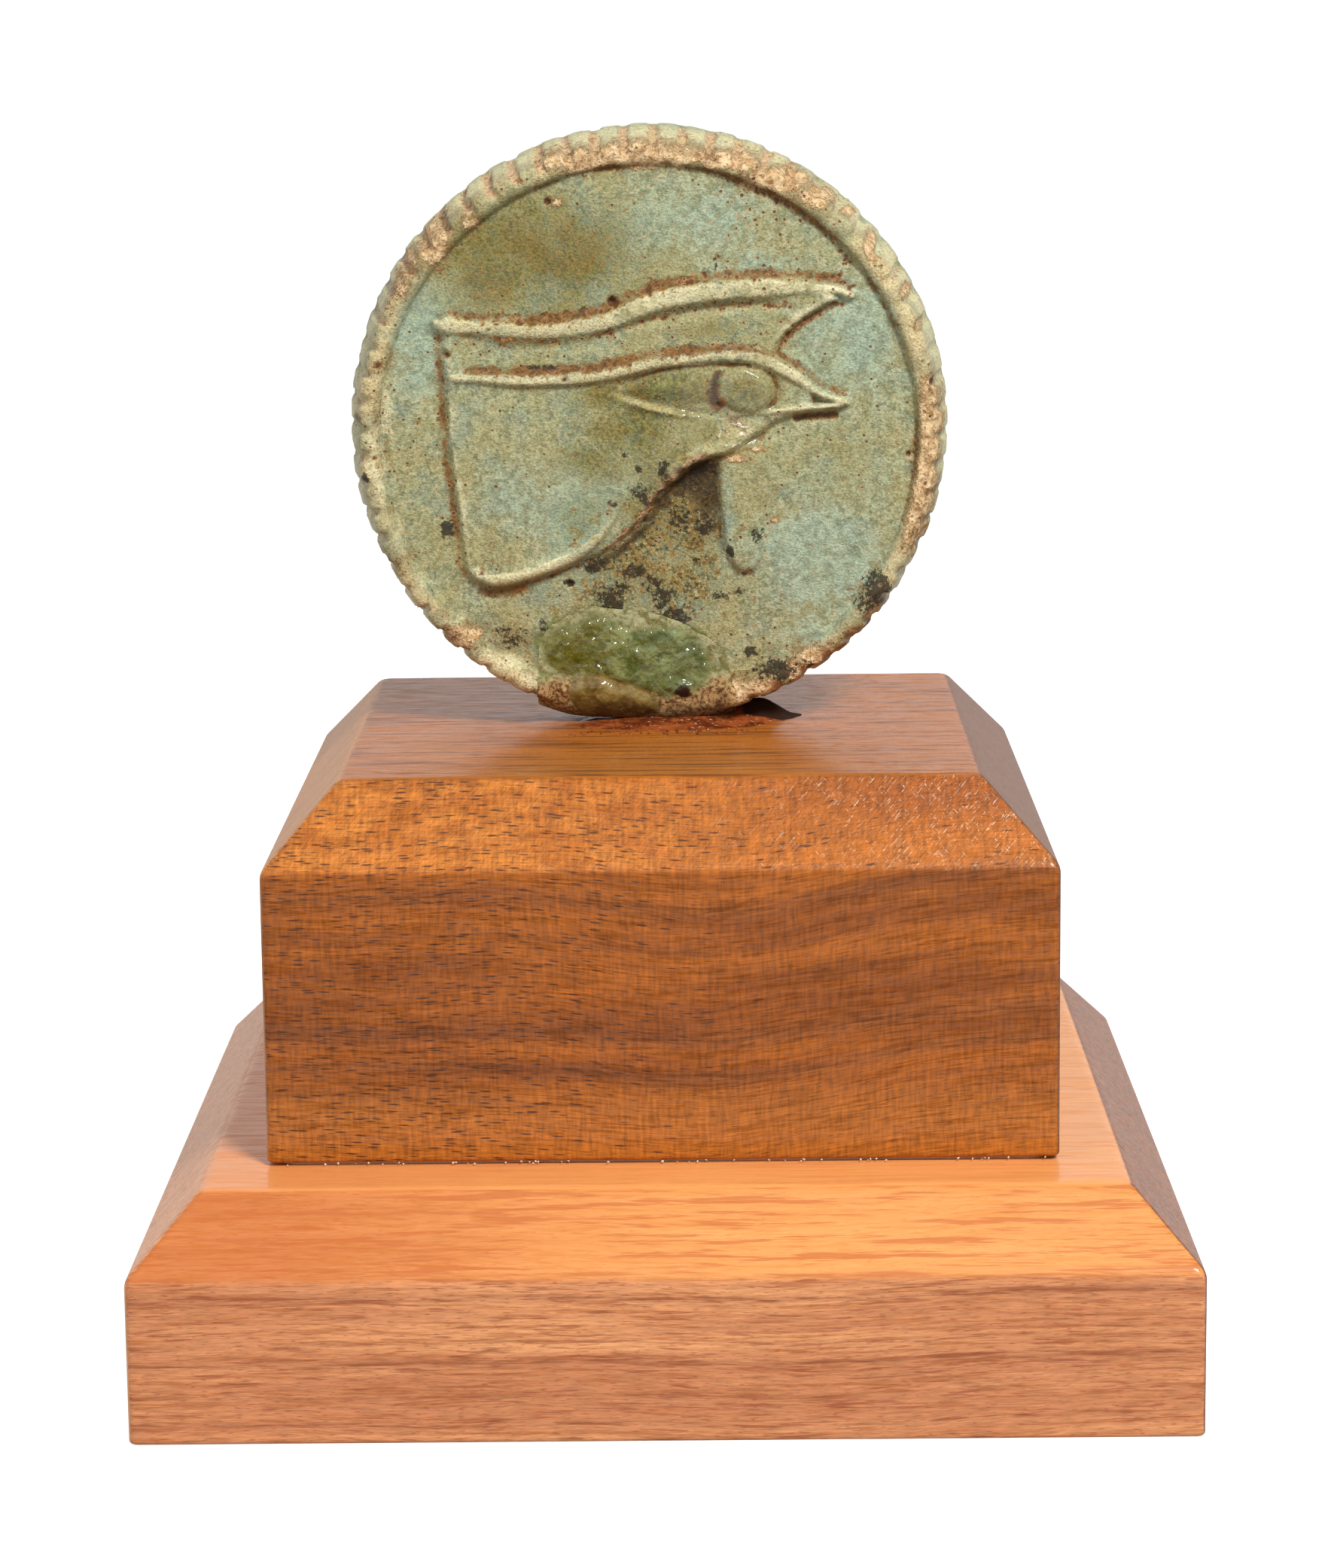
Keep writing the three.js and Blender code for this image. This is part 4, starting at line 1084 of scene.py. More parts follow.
rib_dirt = faience.times(faience.value("groove"), faience.value("rib_dirt"))
groove_dirt = faience.broken(rib_dirt, cloud, 1.8, 0.3, 0.6)
groove_pit = faience.times(groove_dirt, faience.remap(cloud, 0.5, 0.6))
rust = faience.broken("rust", speck, 1.8, 0.3, 0.95)
brown = faience.blend(speck, 0.4, 0.6, (70, 44, 20), (128, 84, 40))
soaked = faience.broken("soaked", cloud, 1.6, 0.25, 0.7)
pit = faience.value("pit")
fine_grain = faience.noise(place, 0.6, 4.0, 0.75)
skin = faience.lay(
    skin,
    (groove_dirt, 0.9, body),
    (groove_pit, 0.8, (140, 96, 56)),
    (rust, 0.3, (130, 102, 54)),
    (faience.times(rust, faience.remap(speck, 0.5, 0.62)), 0.42, (158, 116, 64)),
    (faience.times(rust, faience.remap(dust, 0.5, 0.6)), 0.8, (88, 60, 30)),
    (
        faience.broken("stain", speck, 1.9, 0.36, 0.95), 0.8,
        faience.blend(cloud, 0.4, 0.62, (116, 80, 34), (172, 130, 70)),
    ),
    (faience.broken("stain", cloud, 2.4, 0.5, 0.95), 0.88, brown),
    # Brown at the foot of the rim wall: dirt and painted shade.
    (faience.broken("rim_foot", speck, 1.6, 0.4, 0.8), 0.9, brown),
    (soaked, 0.8, faience.blend(cloud, 0.4, 0.6, (66, 76, 22), (112, 120, 68))),
    (
        faience.broken("edge", speck, 1.0, 0.35, 0.7), 0.9,
        faience.blend(cloud, 0.4, 0.6, (124, 92, 66), (200, 166, 130)),
    ),
    # Near-black dirt and painted shade, under the cheek's edge and beside the drop.
    (
        faience.broken("deep", speck, 1.3, 0.32, 0.95), 0.93,
        faience.blend(speck, 0.4, 0.7, (36, 26, 16), (96, 70, 32)),
    ),
    ((pit, 0.0, 0.5), 0.45, (180, 134, 88)),
    ((pit, 0.35, 0.9), 0.85, (80, 50, 28)),
    (faience.broken("soot", fine_grain, 2.4, 0.58, 0.8), 0.9, (40, 33, 24)),
)
print("stains laid on")

# %% Pin holes, bump and gloss
pin_draw, pin_gap = faience.cells(place, (1.05, 1.05, 1.05))
lonely = faience.remap(pin_draw, 0.48, 0.54)
pin_hole = faience.times(faience.remap(pin_gap, 0.06, 0.15, 1.0, 0.0), lonely)
pin_halo = faience.times(faience.remap(pin_gap, 0.12, 0.26, 1.0, 0.0), lonely)
skin = faience.lay(skin, (pin_halo, 0.35, (184, 144, 98)), (pin_hole, 0.85, (90, 60, 34)))
dot_draw, dot_gap = faience.cells(place, (0.7, 0.7, 0.7))
chosen = faience.math("LESS_THAN", dot_draw, faience.times(faience.value("pitted"), 0.85))
ragged_gap = faience.times_plus(faience.minus(speck, 0.5), 0.7, dot_gap)
dot = faience.times(faience.remap(ragged_gap, 0.1, 0.26, 1.0, 0.0), chosen)
dot_halo = faience.times(faience.remap(ragged_gap, 0.26, 0.46, 1.0, 0.0), chosen)
skin = faience.lay(skin, (dot_halo, 0.5, (196, 158, 110)), (dot, 0.85, (88, 60, 34)))

sand = grain
for relief_part, strength in (
    (cloud, 0.7), (dust, 0.8), (pin_hole, -1.4), (dot, -2.0),
    (faience.times(bare, speck), 2.6), (groove_pit, -0.7),
):
    sand = faience.times_plus(relief_part, strength, sand)
faience.set(
    Base_Color=skin,
    Roughness=faience.times_plus(bare, 0.4, faience.remap(soaked, 0.0, 1.0, 0.42, 0.2)),
    Normal=faience.bump(sand, 0.11, 0.9),
    Specular_IOR_Level=0.16,
)
print("faience finish has", len(faience.tree.nodes), "nodes")

# %% [markdown]
# Ribs by rule
#
# The mould cut sixty-four ribs across the side of the disc. They run over the front edge and die out
# on the rim. A rule is better than a drawn shape here: a Geometry Nodes tree finds the angle of each
# point round the disc, turns it into a place on its rib and pushes the grooves in along the normal.
# A little noise makes every rib lean and wear differently. It also stores the groove as a value, so
# that the finish can fill it with dirt.


# %% A tree for geometry and its use
def shape_tree(name, sockets):
    """A Geometry Nodes tree with named inputs, and its wires."""
    tree = bpy.data.node_groups.new(name, "GeometryNodeTree")
    tree.interface.new_socket("Geometry", in_out="INPUT", socket_type="NodeSocketGeometry")
    for label, kind, default in sockets:
        socket = tree.interface.new_socket(label, in_out="INPUT", socket_type="NodeSocket" + kind)
        if default is not None:
            socket.default_value = default
    tree.interface.new_socket("Geometry", in_out="OUTPUT", socket_type="NodeSocketGeometry")
    wires = Wires(tree)
    return wires, wires.add("NodeGroupInput").outputs


def end_tree(wires, geometry, material):
    """Gives the geometry its material and sends it out of the tree."""
    real = wires.add("GeometryNodeRealizeInstances", geometry).outputs[0]
    finished = wires.add("GeometryNodeSetMaterial", real)
    wires.put(finished.inputs["Material"], material)
    wires.add("NodeGroupOutput", finished.outputs[0])


def grow(made, wires, values):
    """Runs a tree on an object and keeps the result as a plain mesh."""
    modifier = made.modifiers.new(wires.tree.name, "NODES")
    modifier.node_group = wires.tree
    for item in wires.tree.interface.items_tree:
        if item.in_out == "INPUT" and item.name in values:
            modifier[item.identifier] = values[item.name]
    graph = bpy.context.evaluated_depsgraph_get()
    mesh = bpy.data.meshes.new_from_object(
        made.evaluated_get(graph), preserve_all_data_layers=True, depsgraph=graph,
    )
    made.modifiers.clear()
    made.data = mesh
    return made


print("shape trees ready")

# %% Cut the ribs
wires, given = shape_tree("ribs", [
    ("Rib Count", "Int", 64), ("Groove Depth", "Float", 0.5), ("Top Share", "Float", 0.54),
    ("Flank Share", "Float", 0.14), ("Unevenness", "Float", 0.3), ("Seed", "Float", 5.0),
    ("Material", "Material", None),
])
position = wires.add("GeometryNodeInputPosition").outputs[0]
x, y, z = wires.add("ShaderNodeSeparateXYZ", position).outputs
sway = wires.add("ShaderNodeTexNoise", noise_dimensions="4D")
wires.put(sway.inputs["Vector"], position)
wires.put(sway.inputs["W"], given["Seed"])
sway.inputs["Scale"].default_value = 0.45
turn_share = wires.math("DIVIDE", wires.math("ARCTAN2", y, x), 2 * math.pi)
rib = wires.times(turn_share, given["Rib Count"])
bent = wires.times(wires.minus(sway.outputs[0], 0.5), given["Unevenness"])
rib = wires.math("FRACT", wires.plus(wires.plus(rib, bent), given["Rib Count"]))
flank_end = wires.plus(given["Top Share"], given["Flank Share"])
rise_start = wires.minus(1.0, given["Flank Share"])
falling = wires.remap(rib, given["Top Share"], flank_end)
rising = wires.remap(rib, rise_start, 1.0)
groove_share = wires.minus(falling, rising)
reach_attribute = wires.add("GeometryNodeInputNamedAttribute", "rib_reach", data_type="FLOAT")
groove_share = wires.times(groove_share, reach_attribute.outputs[0])
wear = wires.remap(sway.outputs[0], 0.25, 0.7, 0.35, 1.25)
depth = wires.times(wires.times(groove_share, given["Groove Depth"]), wear)
normal = wires.add("GeometryNodeInputNormal").outputs[0]
inward = wires.times(depth, -1.0)
shift = wires.add("ShaderNodeVectorMath", normal, operation="SCALE")
wires.put(shift.inputs["Scale"], inward)
moved = wires.add("GeometryNodeSetPosition", given["Geometry"])
wires.put(moved.inputs["Offset"], shift.outputs[0])
stored = wires.add("GeometryNodeStoreNamedAttribute", moved.outputs[0], data_type="FLOAT", domain="POINT")
wires.put(stored.inputs["Name"], "groove")
wires.put(stored.inputs["Value"], groove_share)
end_tree(wires, stored.outputs[0], given["Material"])
grow(disc, wires, {
    "Rib Count": 64, "Groove Depth": 0.62, "Top Share": 0.5, "Flank Share": 0.17,
    "Unevenness": 0.4, "Seed": 5.0, "Material": faience.material,
})
print("ribbed disc:", len(disc.data.vertices), "points,", [a.name for a in disc.data.attributes][:12])


# %% Stand it up, worn flat at the foot
def points_of(made):
    """The points of an object's mesh as rows of three numbers."""
    found = np.zeros(len(made.data.vertices) * 3, np.float32)
    made.data.vertices.foreach_get("co", found)
    return found.reshape(-1, 3).astype(float)


def stand_up(made, lowest=None):
    """Moves a piece from the face frame to its place, and keeps it above a level."""
    made.data.transform(Matrix.Scale(MM, 4) @ face_frame)
    if lowest is not None:
        placed = points_of(made)
        placed[:, 2] = np.maximum(placed[:, 2], lowest * MM)
        made.data.vertices.foreach_set("co", placed.astype(np.float32).ravel())
    made.data.update()


stand_up(disc, foot_level)
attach(disc, "root")
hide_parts("medallion")
print("top of the disc in mm:", round(points_of(disc)[:, 2].max() / MM, 2), "of", round(high_corner.z, 2))

# %% [markdown]
# The resin in the broken foot
#
# Green resin was run into the break and set in lumps, glossy and a little proud of the field. It is
# a closed lens: rings that shrink from the outline of the break to a middle, once for the front and
# once for the bed. At the edge the front dips just under the faience, so that no gap shows. Below the
# rim it rounds over like the disc did.

# %% Helpers for a lens with a front and a back


def outline_points(loop, spacing):
    """A closed outline with its points spaced evenly, running against the clock."""
    closed = np.vstack([loop, loop[:1]])
    area = np.sum(closed[:-1, 0] * closed[1:, 1] - closed[1:, 0] * closed[:-1, 1])
    closed = closed if area > 0 else closed[::-1]
    count = int(np.hypot(*np.diff(closed, axis=0).T).sum() / spacing)
    return evenly(closed, count + 1)[:-1]


def lens(name, loop, middle, rings, front_of, back_of, spacing):
    """A closed piece over an outline, between a front and a back height that depend on the place."""
    border = outline_points(loop, spacing)
    shares = 1 - np.linspace(0, 1, rings, endpoint=False) ** 1.5
    layers = [middle + (border - middle) * share for share in shares[::-1]]
    flat = np.vstack([[middle], *layers])
    share_of = np.concatenate([[0], np.repeat(shares[::-1], len(border))])
    front = np.column_stack([flat, front_of(flat[:, 0], flat[:, 1], share_of)])
    back = np.column_stack([flat, back_of(flat[:, 0], flat[:, 1], share_of)])
    count = len(border)
    faces = []
    for side, first in ((1, 0), (-1, len(flat))):
        ring = np.arange(first + 1, first + 1 + count)
        faces += [[first, a, b][::side] for a, b in zip(ring, np.roll(ring, -1))]
        for _ in range(rings - 1):
            following = ring + count
            quads = np.column_stack([ring, following, np.roll(following, -1), np.roll(ring, -1)])
            faces += quads[:, ::side].tolist()
            ring = following
    outer = np.arange(len(flat) - count, len(flat))
    under = outer + len(flat)
    faces += np.column_stack([outer, under, np.roll(under, -1), np.roll(outer, -1)]).tolist()
    return mesh_object(name, np.vstack([front, back]), faces)


print("lens helper ready")

# %% Shape the foot resin
RESIN_RADIUS = MEDAL_RADIUS - 0.15
RESIN_ROUND_FROM = 26.6
RESIN_EDGE_Z = -2.9
RESIN_MIDDLE = np.array((-2.0, -24.2))
RESIN_OVERLAP = 1.03
RESIN_PROUD = 0.015
RESIN_RINGS = 52
RESIN_SPACING = 0.24
EDGE_TUCK = 0.12
BROWN_AREA = [
    (757, 906), (775, 897), (800, 895), (830, 905), (858, 915), (880, 930), (876, 950), (820, 962),
    (772, 954), (755, 930),
]

arc_from = math.atan2(-math.sqrt(RESIN_RADIUS ** 2 - break_line[-1][0] ** 2), break_line[-1][0])
arc_to = math.atan2(-math.sqrt(RESIN_RADIUS ** 2 - break_line[0][0] ** 2), break_line[0][0])
arc_angles = np.linspace(arc_from, arc_to, 40)
arc = RESIN_RADIUS * np.column_stack([np.cos(arc_angles), np.sin(arc_angles)])
resin_loop = RESIN_MIDDLE + (np.vstack([break_line, arc]) - RESIN_MIDDLE) * RESIN_OVERLAP
brown_depth = depth_in(np.array([on_face(u, v) for u, v in BROWN_AREA]), 3)
rim_first = RIM_ROWS * 2 // 3


def resin_front(x, y, share):
    """The resin's front: swollen and lumpy, rounded below the rim, joined to the face at the break."""
    lumps = 0.3 * rough_noise(x, y, 3.0, 71) + 0.2 * rough_noise(x, y, 1.1, 72)
    from_break = sampled(break_depth, x, y)
    swell = 0.3 * smooth(sampled(green_depth, x, y), -0.2, 1.2)
    swell = np.maximum(swell, 0.45 * smooth(sampled(brown_depth, x, y), -0.2, 1.5))
    top = swell + lumps - 0.1
    radius = np.hypot(x, y)
    past = np.clip((radius - RESIN_ROUND_FROM) / (RESIN_RADIUS + 0.1 - RESIN_ROUND_FROM), 0, 1)
    rounded = RESIN_EDGE_Z + (top - RESIN_EDGE_Z) * np.sqrt(1 - past ** 2)
    disc_rise = np.interp(radius, section[:rim_first, 0], section[:rim_first, 1])
    disc_level = np.where(radius < field_radius, sampled(height, x, y), np.maximum(disc_rise, RESIN_EDGE_Z))
    joined = 1 - smooth(from_break, 0.0, 1.7)
    tucked = EDGE_TUCK * (1 - smooth(from_break, -0.3, -0.08))
    return rounded * (1 - joined) + disc_level * joined + RESIN_PROUD - tucked


def resin_back(x, y, share):
    """The resin's back: just under its front at the edge, and down in the bed within the break."""
    front = resin_front(x, y, share)
    within = smooth(sampled(break_depth, x, y), 0.05, 0.6)
    return np.minimum(front - 0.04, front * (1 - within) + (0.15 - BED_DEPTH) * within)


foot_fill = lens(
    "foot_resin_fill", resin_loop, RESIN_MIDDLE, RESIN_RINGS, resin_front, resin_back, RESIN_SPACING,
)
print("foot resin:", len(foot_fill.data.polygons), "faces")

# %% Values on the foot resin
DARK_SPOT = (908, 919)
SPOT_SIZE = 1.1

placed = points_of(foot_fill)
spot_x, spot_y = on_face(*DARK_SPOT)
keep_values(foot_fill, "green", smooth(sampled(green_depth, placed[:, 0], placed[:, 1]), -0.8, 1.3))
keep_values(foot_fill, "brown", smooth(sampled(brown_depth, placed[:, 0], placed[:, 1]), -0.4, 0.5))
from_spot = np.hypot(placed[:, 0] - spot_x, placed[:, 1] - spot_y)
keep_values(foot_fill, "dark_spot", np.exp(-(from_spot / SPOT_SIZE) ** 2))
# Painted shade: the resin is darkened towards its lowest edge, where it meets the wood.
keep_values(foot_fill, "bottom", smooth(-placed[:, 1], 27.2, 29.8))
keep_values(foot_fill, "low", smooth(-placed[:, 1], 23.5, 27.0))
print("resin values kept")

# %% The finish of the foot resin
resin = Finish("green_resin_fill")
place = resin.place
cloud = resin.noise(place, 2.2, 3.0, 0.6)
veil = resin.noise(place, 1.1, 4.0, 0.7)
speck = resin.noise(place, 0.42, 3.0, 0.65)
blotch = resin.noise(place, (1.8, 1.0, 1.0), 3.0, 0.65)
green = resin.broken("green", veil, 2.0, 0.15, 0.8)
brown = resin.broken("brown", veil, 0.9, 0.35, 0.7)
low = resin.broken("low", veil, 1.6, 0.3, 0.9)
from_left = resin.add("ShaderNodeSeparateXYZ", place).outputs[0]
sandy = resin.blend(veil, 0.38, 0.62, (112, 112, 66), (176, 176, 134))
crumbly = resin.blend(speck, 0.42, 0.6, (196, 156, 106), (104, 70, 38))
tone = resin.lay(sandy, ((speck, 0.54, 0.66), 0.5, (140, 100, 56)), (low, 0.9, crumbly))
glass = resin.lay(
    resin.blend(cloud, 0.38, 0.62, (132, 140, 84), (64, 76, 6)),
    ((from_left, -4 * MM, 3 * MM), 0.5, (104, 118, 74)),
    ((from_left, -3 * MM, -8 * MM), 0.6, (100, 90, 8)),
    ((veil, 0.5, 0.66), 0.5, (152, 156, 108)),
    ((veil, 0.44, 0.32), 0.85, (40, 42, 6)),
    ((blotch, 0.46, 0.36), 0.55, (56, 62, 12)),
    ((speck, 0.56, 0.66), 0.6, (88, 60, 20)),
)
tan = resin.lay(
    resin.blend(cloud, 0.4, 0.6, (90, 68, 28), (130, 110, 54)),
    # Pale veils on the tan resin, partly its colour and partly a painted highlight.
    ((veil, 0.54, 0.7), 0.4, (176, 150, 100)),
)
tone = resin.mix(brown, resin.mix(green, tone, glass), tan)
# Painted shade along the bottom of the resin.
tone = resin.lay(tone, (resin.value("bottom"), 0.7, (60, 38, 20)))
dark_spot = resin.broken("dark_spot", veil, 0.9, 0.42, 0.72)
tone = resin.mix(dark_spot, tone, (42, 26, 14))
wet = resin.math("MAXIMUM", green, brown)
resin.set(
    Base_Color=tone,
    Roughness=resin.remap(wet, 0.0, 1.0, 0.75, 0.3),
    Coat_Weight=resin.times(wet, 0.55),
    Coat_Roughness=0.05,
    Normal=resin.bump(resin.times_plus(speck, 0.6, veil), 0.25, 0.8),
    Specular_IOR_Level=0.12,
)
lumps = resin.noise(place, 1.9, 1.0, 0.4)
small_lumps = resin.noise(place, (0.7, 1.4, 0.7), 0.0, 0.4)
small_lumps = resin.times(small_lumps, resin.remap(brown, 0.0, 1.0, 0.8, 0.15))
resin.put(resin.surface.inputs["Coat Normal"], resin.bump(resin.plus(lumps, small_lumps), 0.6, 1.0))
foot_fill.data.materials.append(resin.material)
stand_up(foot_fill, foot_level)
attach(foot_fill, "root")
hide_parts("foot_resin")
print("resin tones mixed")

# %% [markdown]
# The clear resin over the eye
#
# A thin clear film lies over the pupil and the tip of the cheek, where a break was mended. It has
# no shape of its own, it only follows the relief. So its front reads the height map and adds a
# little over a tenth of a millimetre, with a thicker bead along its edge and raised folds. The
# finish is a mix of see-through and mirror, weighted by the angle, which lets the light reach the
# faience below. White glints are painted along the folds as a diffuse white.

# %% Lay the film
PATCH = [
    (0.118, 0.162), (0.16, 0.235), (0.279, 0.248), (0.419, 0.229), (0.463, 0.13), (0.451, 0.023),
    (0.4, -0.04), (0.3, -0.085), (0.21, -0.08), (0.14, 0), (0.116, 0.08), (0.118, 0.162),
]
FILM_THICK = 0.14
FILM_BEAD = 0.04
FILM_FOLDS = [
    [(963, 487), (978, 486), (992, 491), (1004, 499), (1018, 506), (1030, 517)],
    [(946, 556), (957, 568), (955, 580), (966, 590)], [(960, 566), (976, 561), (990, 566), (1006, 562)],
    [(968, 592), (984, 586), (996, 590), (1014, 578), (1022, 568)],
    [(1014, 548), (1022, 560), (1024, 578)],
    [(826, 524), (838, 505), (856, 494), (880, 488), (915, 484), (950, 487)],
    [(972, 574), (985, 575), (1001, 571)],
]
FOLD_HEIGHT = 0.1
FOLD_WIDE = 0.15
FILM_PROUD = 0.02
FILM_UNDER = 0.05
FILM_RINGS = 40
FILM_SPACING = 0.2

patch_loop = line_of(PATCH)[:-1]
patch_middle = patch_loop.mean(axis=0)
film_height = blurred(height, 0.2)
fold_lines = [curve([on_face(u, v) for u, v in fold], 4) for fold in FILM_FOLDS]
near_fold = np.minimum.reduce([near_line(fold, 1.5)[0] for fold in fold_lines])
folds = np.exp(-(near_fold / FOLD_WIDE) ** 2) * np.clip(0.75 + 0.9 * fine_wander, 0, 1.3)


def film_front(x, y, share):
    """The film's front: the relief, the film's thickness, a bead along the edge, waves and folds."""
    bead = FILM_BEAD * np.exp(-((share - 0.93) / 0.035) ** 2)
    edge = 1 - smooth(share, 0.955, 1.0)
    waves = 0.05 * rough_noise(x, y, 1.5, 81)
    raised = FILM_THICK + bead + waves + FOLD_HEIGHT * sampled(folds, x, y)
    return sampled(film_height, x, y) + raised * edge + FILM_PROUD


def film_back(x, y, share):
    """The film's back, just within the faience."""
    return sampled(film_height, x, y) - FILM_UNDER


film = lens("eye_resin_film", patch_loop, patch_middle, FILM_RINGS, film_front, film_back, FILM_SPACING)
placed = points_of(film)
keep_values(film, "fold", sampled(folds, placed[:, 0], placed[:, 1]))
print("film:", len(film.data.polygons), "faces")

# %% The finish of the film, see-through and mirror, with glints painted on the folds
clear = bpy.data.materials.new("clear_resin_film")
clear.use_nodes = True
clear.node_tree.nodes.clear()
wires = Wires(clear.node_tree)
place = wires.add("ShaderNodeTexCoord").outputs["Object"]
ripple = wires.add("ShaderNodeBump")
ripple.inputs["Distance"].default_value = 0.2 * MM
ripple.inputs["Strength"].default_value = 0.4
wires.put(ripple.inputs["Height"], wires.noise(place, 0.9, 2.0, 0.5))
through = wires.add("ShaderNodeBsdfTransparent", paint(251, 250, 243)).outputs[0]
mirror = wires.add("ShaderNodeBsdfGlossy")
mirror.inputs["Roughness"].default_value = 0.11
wires.put(mirror.inputs["Normal"], ripple.outputs[0])
facing = wires.add("ShaderNodeFresnel", 1.5)
wires.put(facing.inputs["Normal"], ripple.outputs[0])
front_side = wires.minus(1.0, wires.add("ShaderNodeNewGeometry").outputs["Backfacing"])
mirrored = wires.times(facing.outputs[0], front_side)
mixed = wires.add("ShaderNodeMixShader", mirrored, through, mirror.outputs[0])
fold_value = wires.add("ShaderNodeAttribute", attribute_name="fold").outputs["Fac"]
# Painted highlight: white glints laid along the folds as a diffuse white.
painted_fold_glints = wires.broken(fold_value, wires.noise(place, 0.4, 3.0, 0.7), 2.6, 0.6, 1.0)
painted_glint_white = wires.add("ShaderNodeBsdfDiffuse", paint(236, 232, 214)).outputs[0]
mixed = wires.add("ShaderNodeMixShader", wires.times(painted_fold_glints, 0.65), mixed.outputs[0], painted_glint_white)
wires.add("ShaderNodeOutputMaterial", mixed.outputs[0])
film.data.materials.append(clear)
stand_up(film)
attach(film, "root")
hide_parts("eye_resin")
print("film finish has", len(wires.tree.nodes), "nodes")

# %% [markdown]
# The wooden blocks
#
# Both blocks are squares with a wide chamfer, sanded a little round on every edge. The skin is a
# stack of rounded squares that follow one section from the underside to the top. Beside each softened
# edge a guard ring keeps the flat faces flat, because smooth shading would else bend the light
# across them.

# %% A chamfered block
BLOCK_CORNER = 0.7
BLOCK_ARRIS = 0.8
BLOCK_FOOT = 0.5
GUARD = 0.3
SIDE_CELLS = 26
CORNER_CELLS = 7
CAP_RUN = 2.5
UPPER_FACE_AND_CHAMFER = (28.6, 7.2, 7.8)
LOWER_FACE_AND_CHAMFER = (16, 6.65, 7.1)


def square_ring(half_wide, half_deep, centre, z):
    """A rounded square at a height, its sides split evenly and guarded beside each corner."""
    round_by = BLOCK_CORNER
    ring = []
    for quarter, (sx, sy) in enumerate(((1, 1), (-1, 1), (-1, -1), (1, -1))):
        middle = np.array([centre[0] + sx * (half_wide - round_by), centre[1] + sy * (half_deep - round_by)])
        for turn in np.linspace(quarter, quarter + 1, CORNER_CELLS) * math.pi / 2:
            ring.append(middle + round_by * np.array([math.cos(turn), math.sin(turn)]))
        along = np.array([(-1, 0), (0, -1), (1, 0), (0, 1)][quarter])
        length = 2 * ((half_wide, half_deep)[quarter % 2] - round_by)
        steps = (GUARD, *np.linspace(0, length, SIDE_CELLS)[1:-1], length - GUARD)
        ring += [ring[-1] + along * step for step in steps]
    return np.column_stack([np.array(ring), np.full(len(ring), z)])


def block_skin(name, node, face_high, chamfer_in, chamfer_up):
    """The skin of a chamfered block, in metres, at its node's place."""
    low, high = (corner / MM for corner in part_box(node))
    half_wide = (high.x - low.x) / 2
    half_deep = (high.y - low.y) / 2
    centre = ((low.x + high.x) / 2, (low.y + high.y) / 2)
    corners = [
        (CAP_RUN, low.z), (0, low.z), (0, low.z + face_high), (chamfer_in, low.z + face_high + chamfer_up),
        (chamfer_in + CAP_RUN, high.z),
    ]
    profile = softened(corners, (BLOCK_FOOT, BLOCK_ARRIS, BLOCK_ARRIS), guard=GUARD)
    rings = [square_ring(half_wide - inset, half_deep - inset, centre, z) for inset, z in profile]
    count = len(rings[0])
    points = np.vstack(rings) * MM
    numbers = np.arange(count * len(rings)).reshape(len(rings), count)
    faces = [numbers[0][::-1].tolist(), numbers[-1].tolist()]
    for below, above in zip(numbers, numbers[1:]):
        faces += np.column_stack([below, np.roll(below, -1), np.roll(above, -1), above]).tolist()
    made = mesh_object(name, points, faces)
    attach(made, "root")
    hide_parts(node)
    return made


upper = block_skin("upper_block_skin", "upper_block", *UPPER_FACE_AND_CHAMFER)
lower = block_skin("lower_block_skin", "lower_block", *LOWER_FACE_AND_CHAMFER)
print("block skins:", len(upper.data.polygons), "and", len(lower.data.polygons), "faces")

# %% [markdown]
# Walnut under lacquer
#
# Wood is a solid pattern, so the finish is made in three dimensions and the faces simply cut through
# it: long lines on the front, dots on the ends. The grain runs along X. The layers of growth are
# bands across it, warped by slow noise. The pores are short dark dashes, the pale fleck across the
# grain gives a woven look. A clear coat lies over all, so that the ledges mirror the white room.
# The upper chamfer and the tops are painted paler, and the ends lighter on the left and darker on
# the right: painted light and shade. White glints are painted on the upper chamfer.


# %% Grain in three dimensions
def warped(finish, rise, dip, dip_at, wobble):
    """Object coordinates with a bent height, so that level layers dip, rise to the right and sway."""
    x, y, z = finish.add("ShaderNodeSeparateXYZ", finish.place).outputs
    lifted = finish.remap(x, dip_at * MM, (dip_at + 38) * MM, 0.0, rise * MM)
    from_dip = finish.math("ABSOLUTE", finish.minus(x, dip_at * MM))
    dipped = finish.remap(from_dip, 0.0, 22 * MM, -dip * MM, 0.0)
    sway = finish.noise(finish.place, (34, 16, 12), 2.0, 0.5)
    swayed = finish.times(finish.minus(sway, 0.5), wobble * MM)
    level = finish.minus(z, finish.plus(finish.plus(lifted, dipped), swayed))
    bent = finish.add("ShaderNodeCombineXYZ", x, y, level).outputs[0]
    return bent, level, (x, y, z)


def layers(finish, wood, level, lines, bands, colour):
    """Soft dark layers, each a height, a half width and a strength, broken up along the grain."""
    for height, half, strength in bands:
        gap = finish.math("ABSOLUTE", finish.minus(level, height * MM))
        dark = finish.times(finish.remap(gap, 0.0, half * MM, strength, 0.0), lines)
        wood = finish.mix(dark, wood, colour)
    return wood


def dashes(finish, where, sizes, share):
    """Open pores: long flat cells, a share of which hold a dash."""
    chance, gap = finish.cells(where, sizes)
    chosen = finish.math("LESS_THAN", chance, share)
    return finish.times(finish.remap(gap, 0.36, 0.14), chosen)


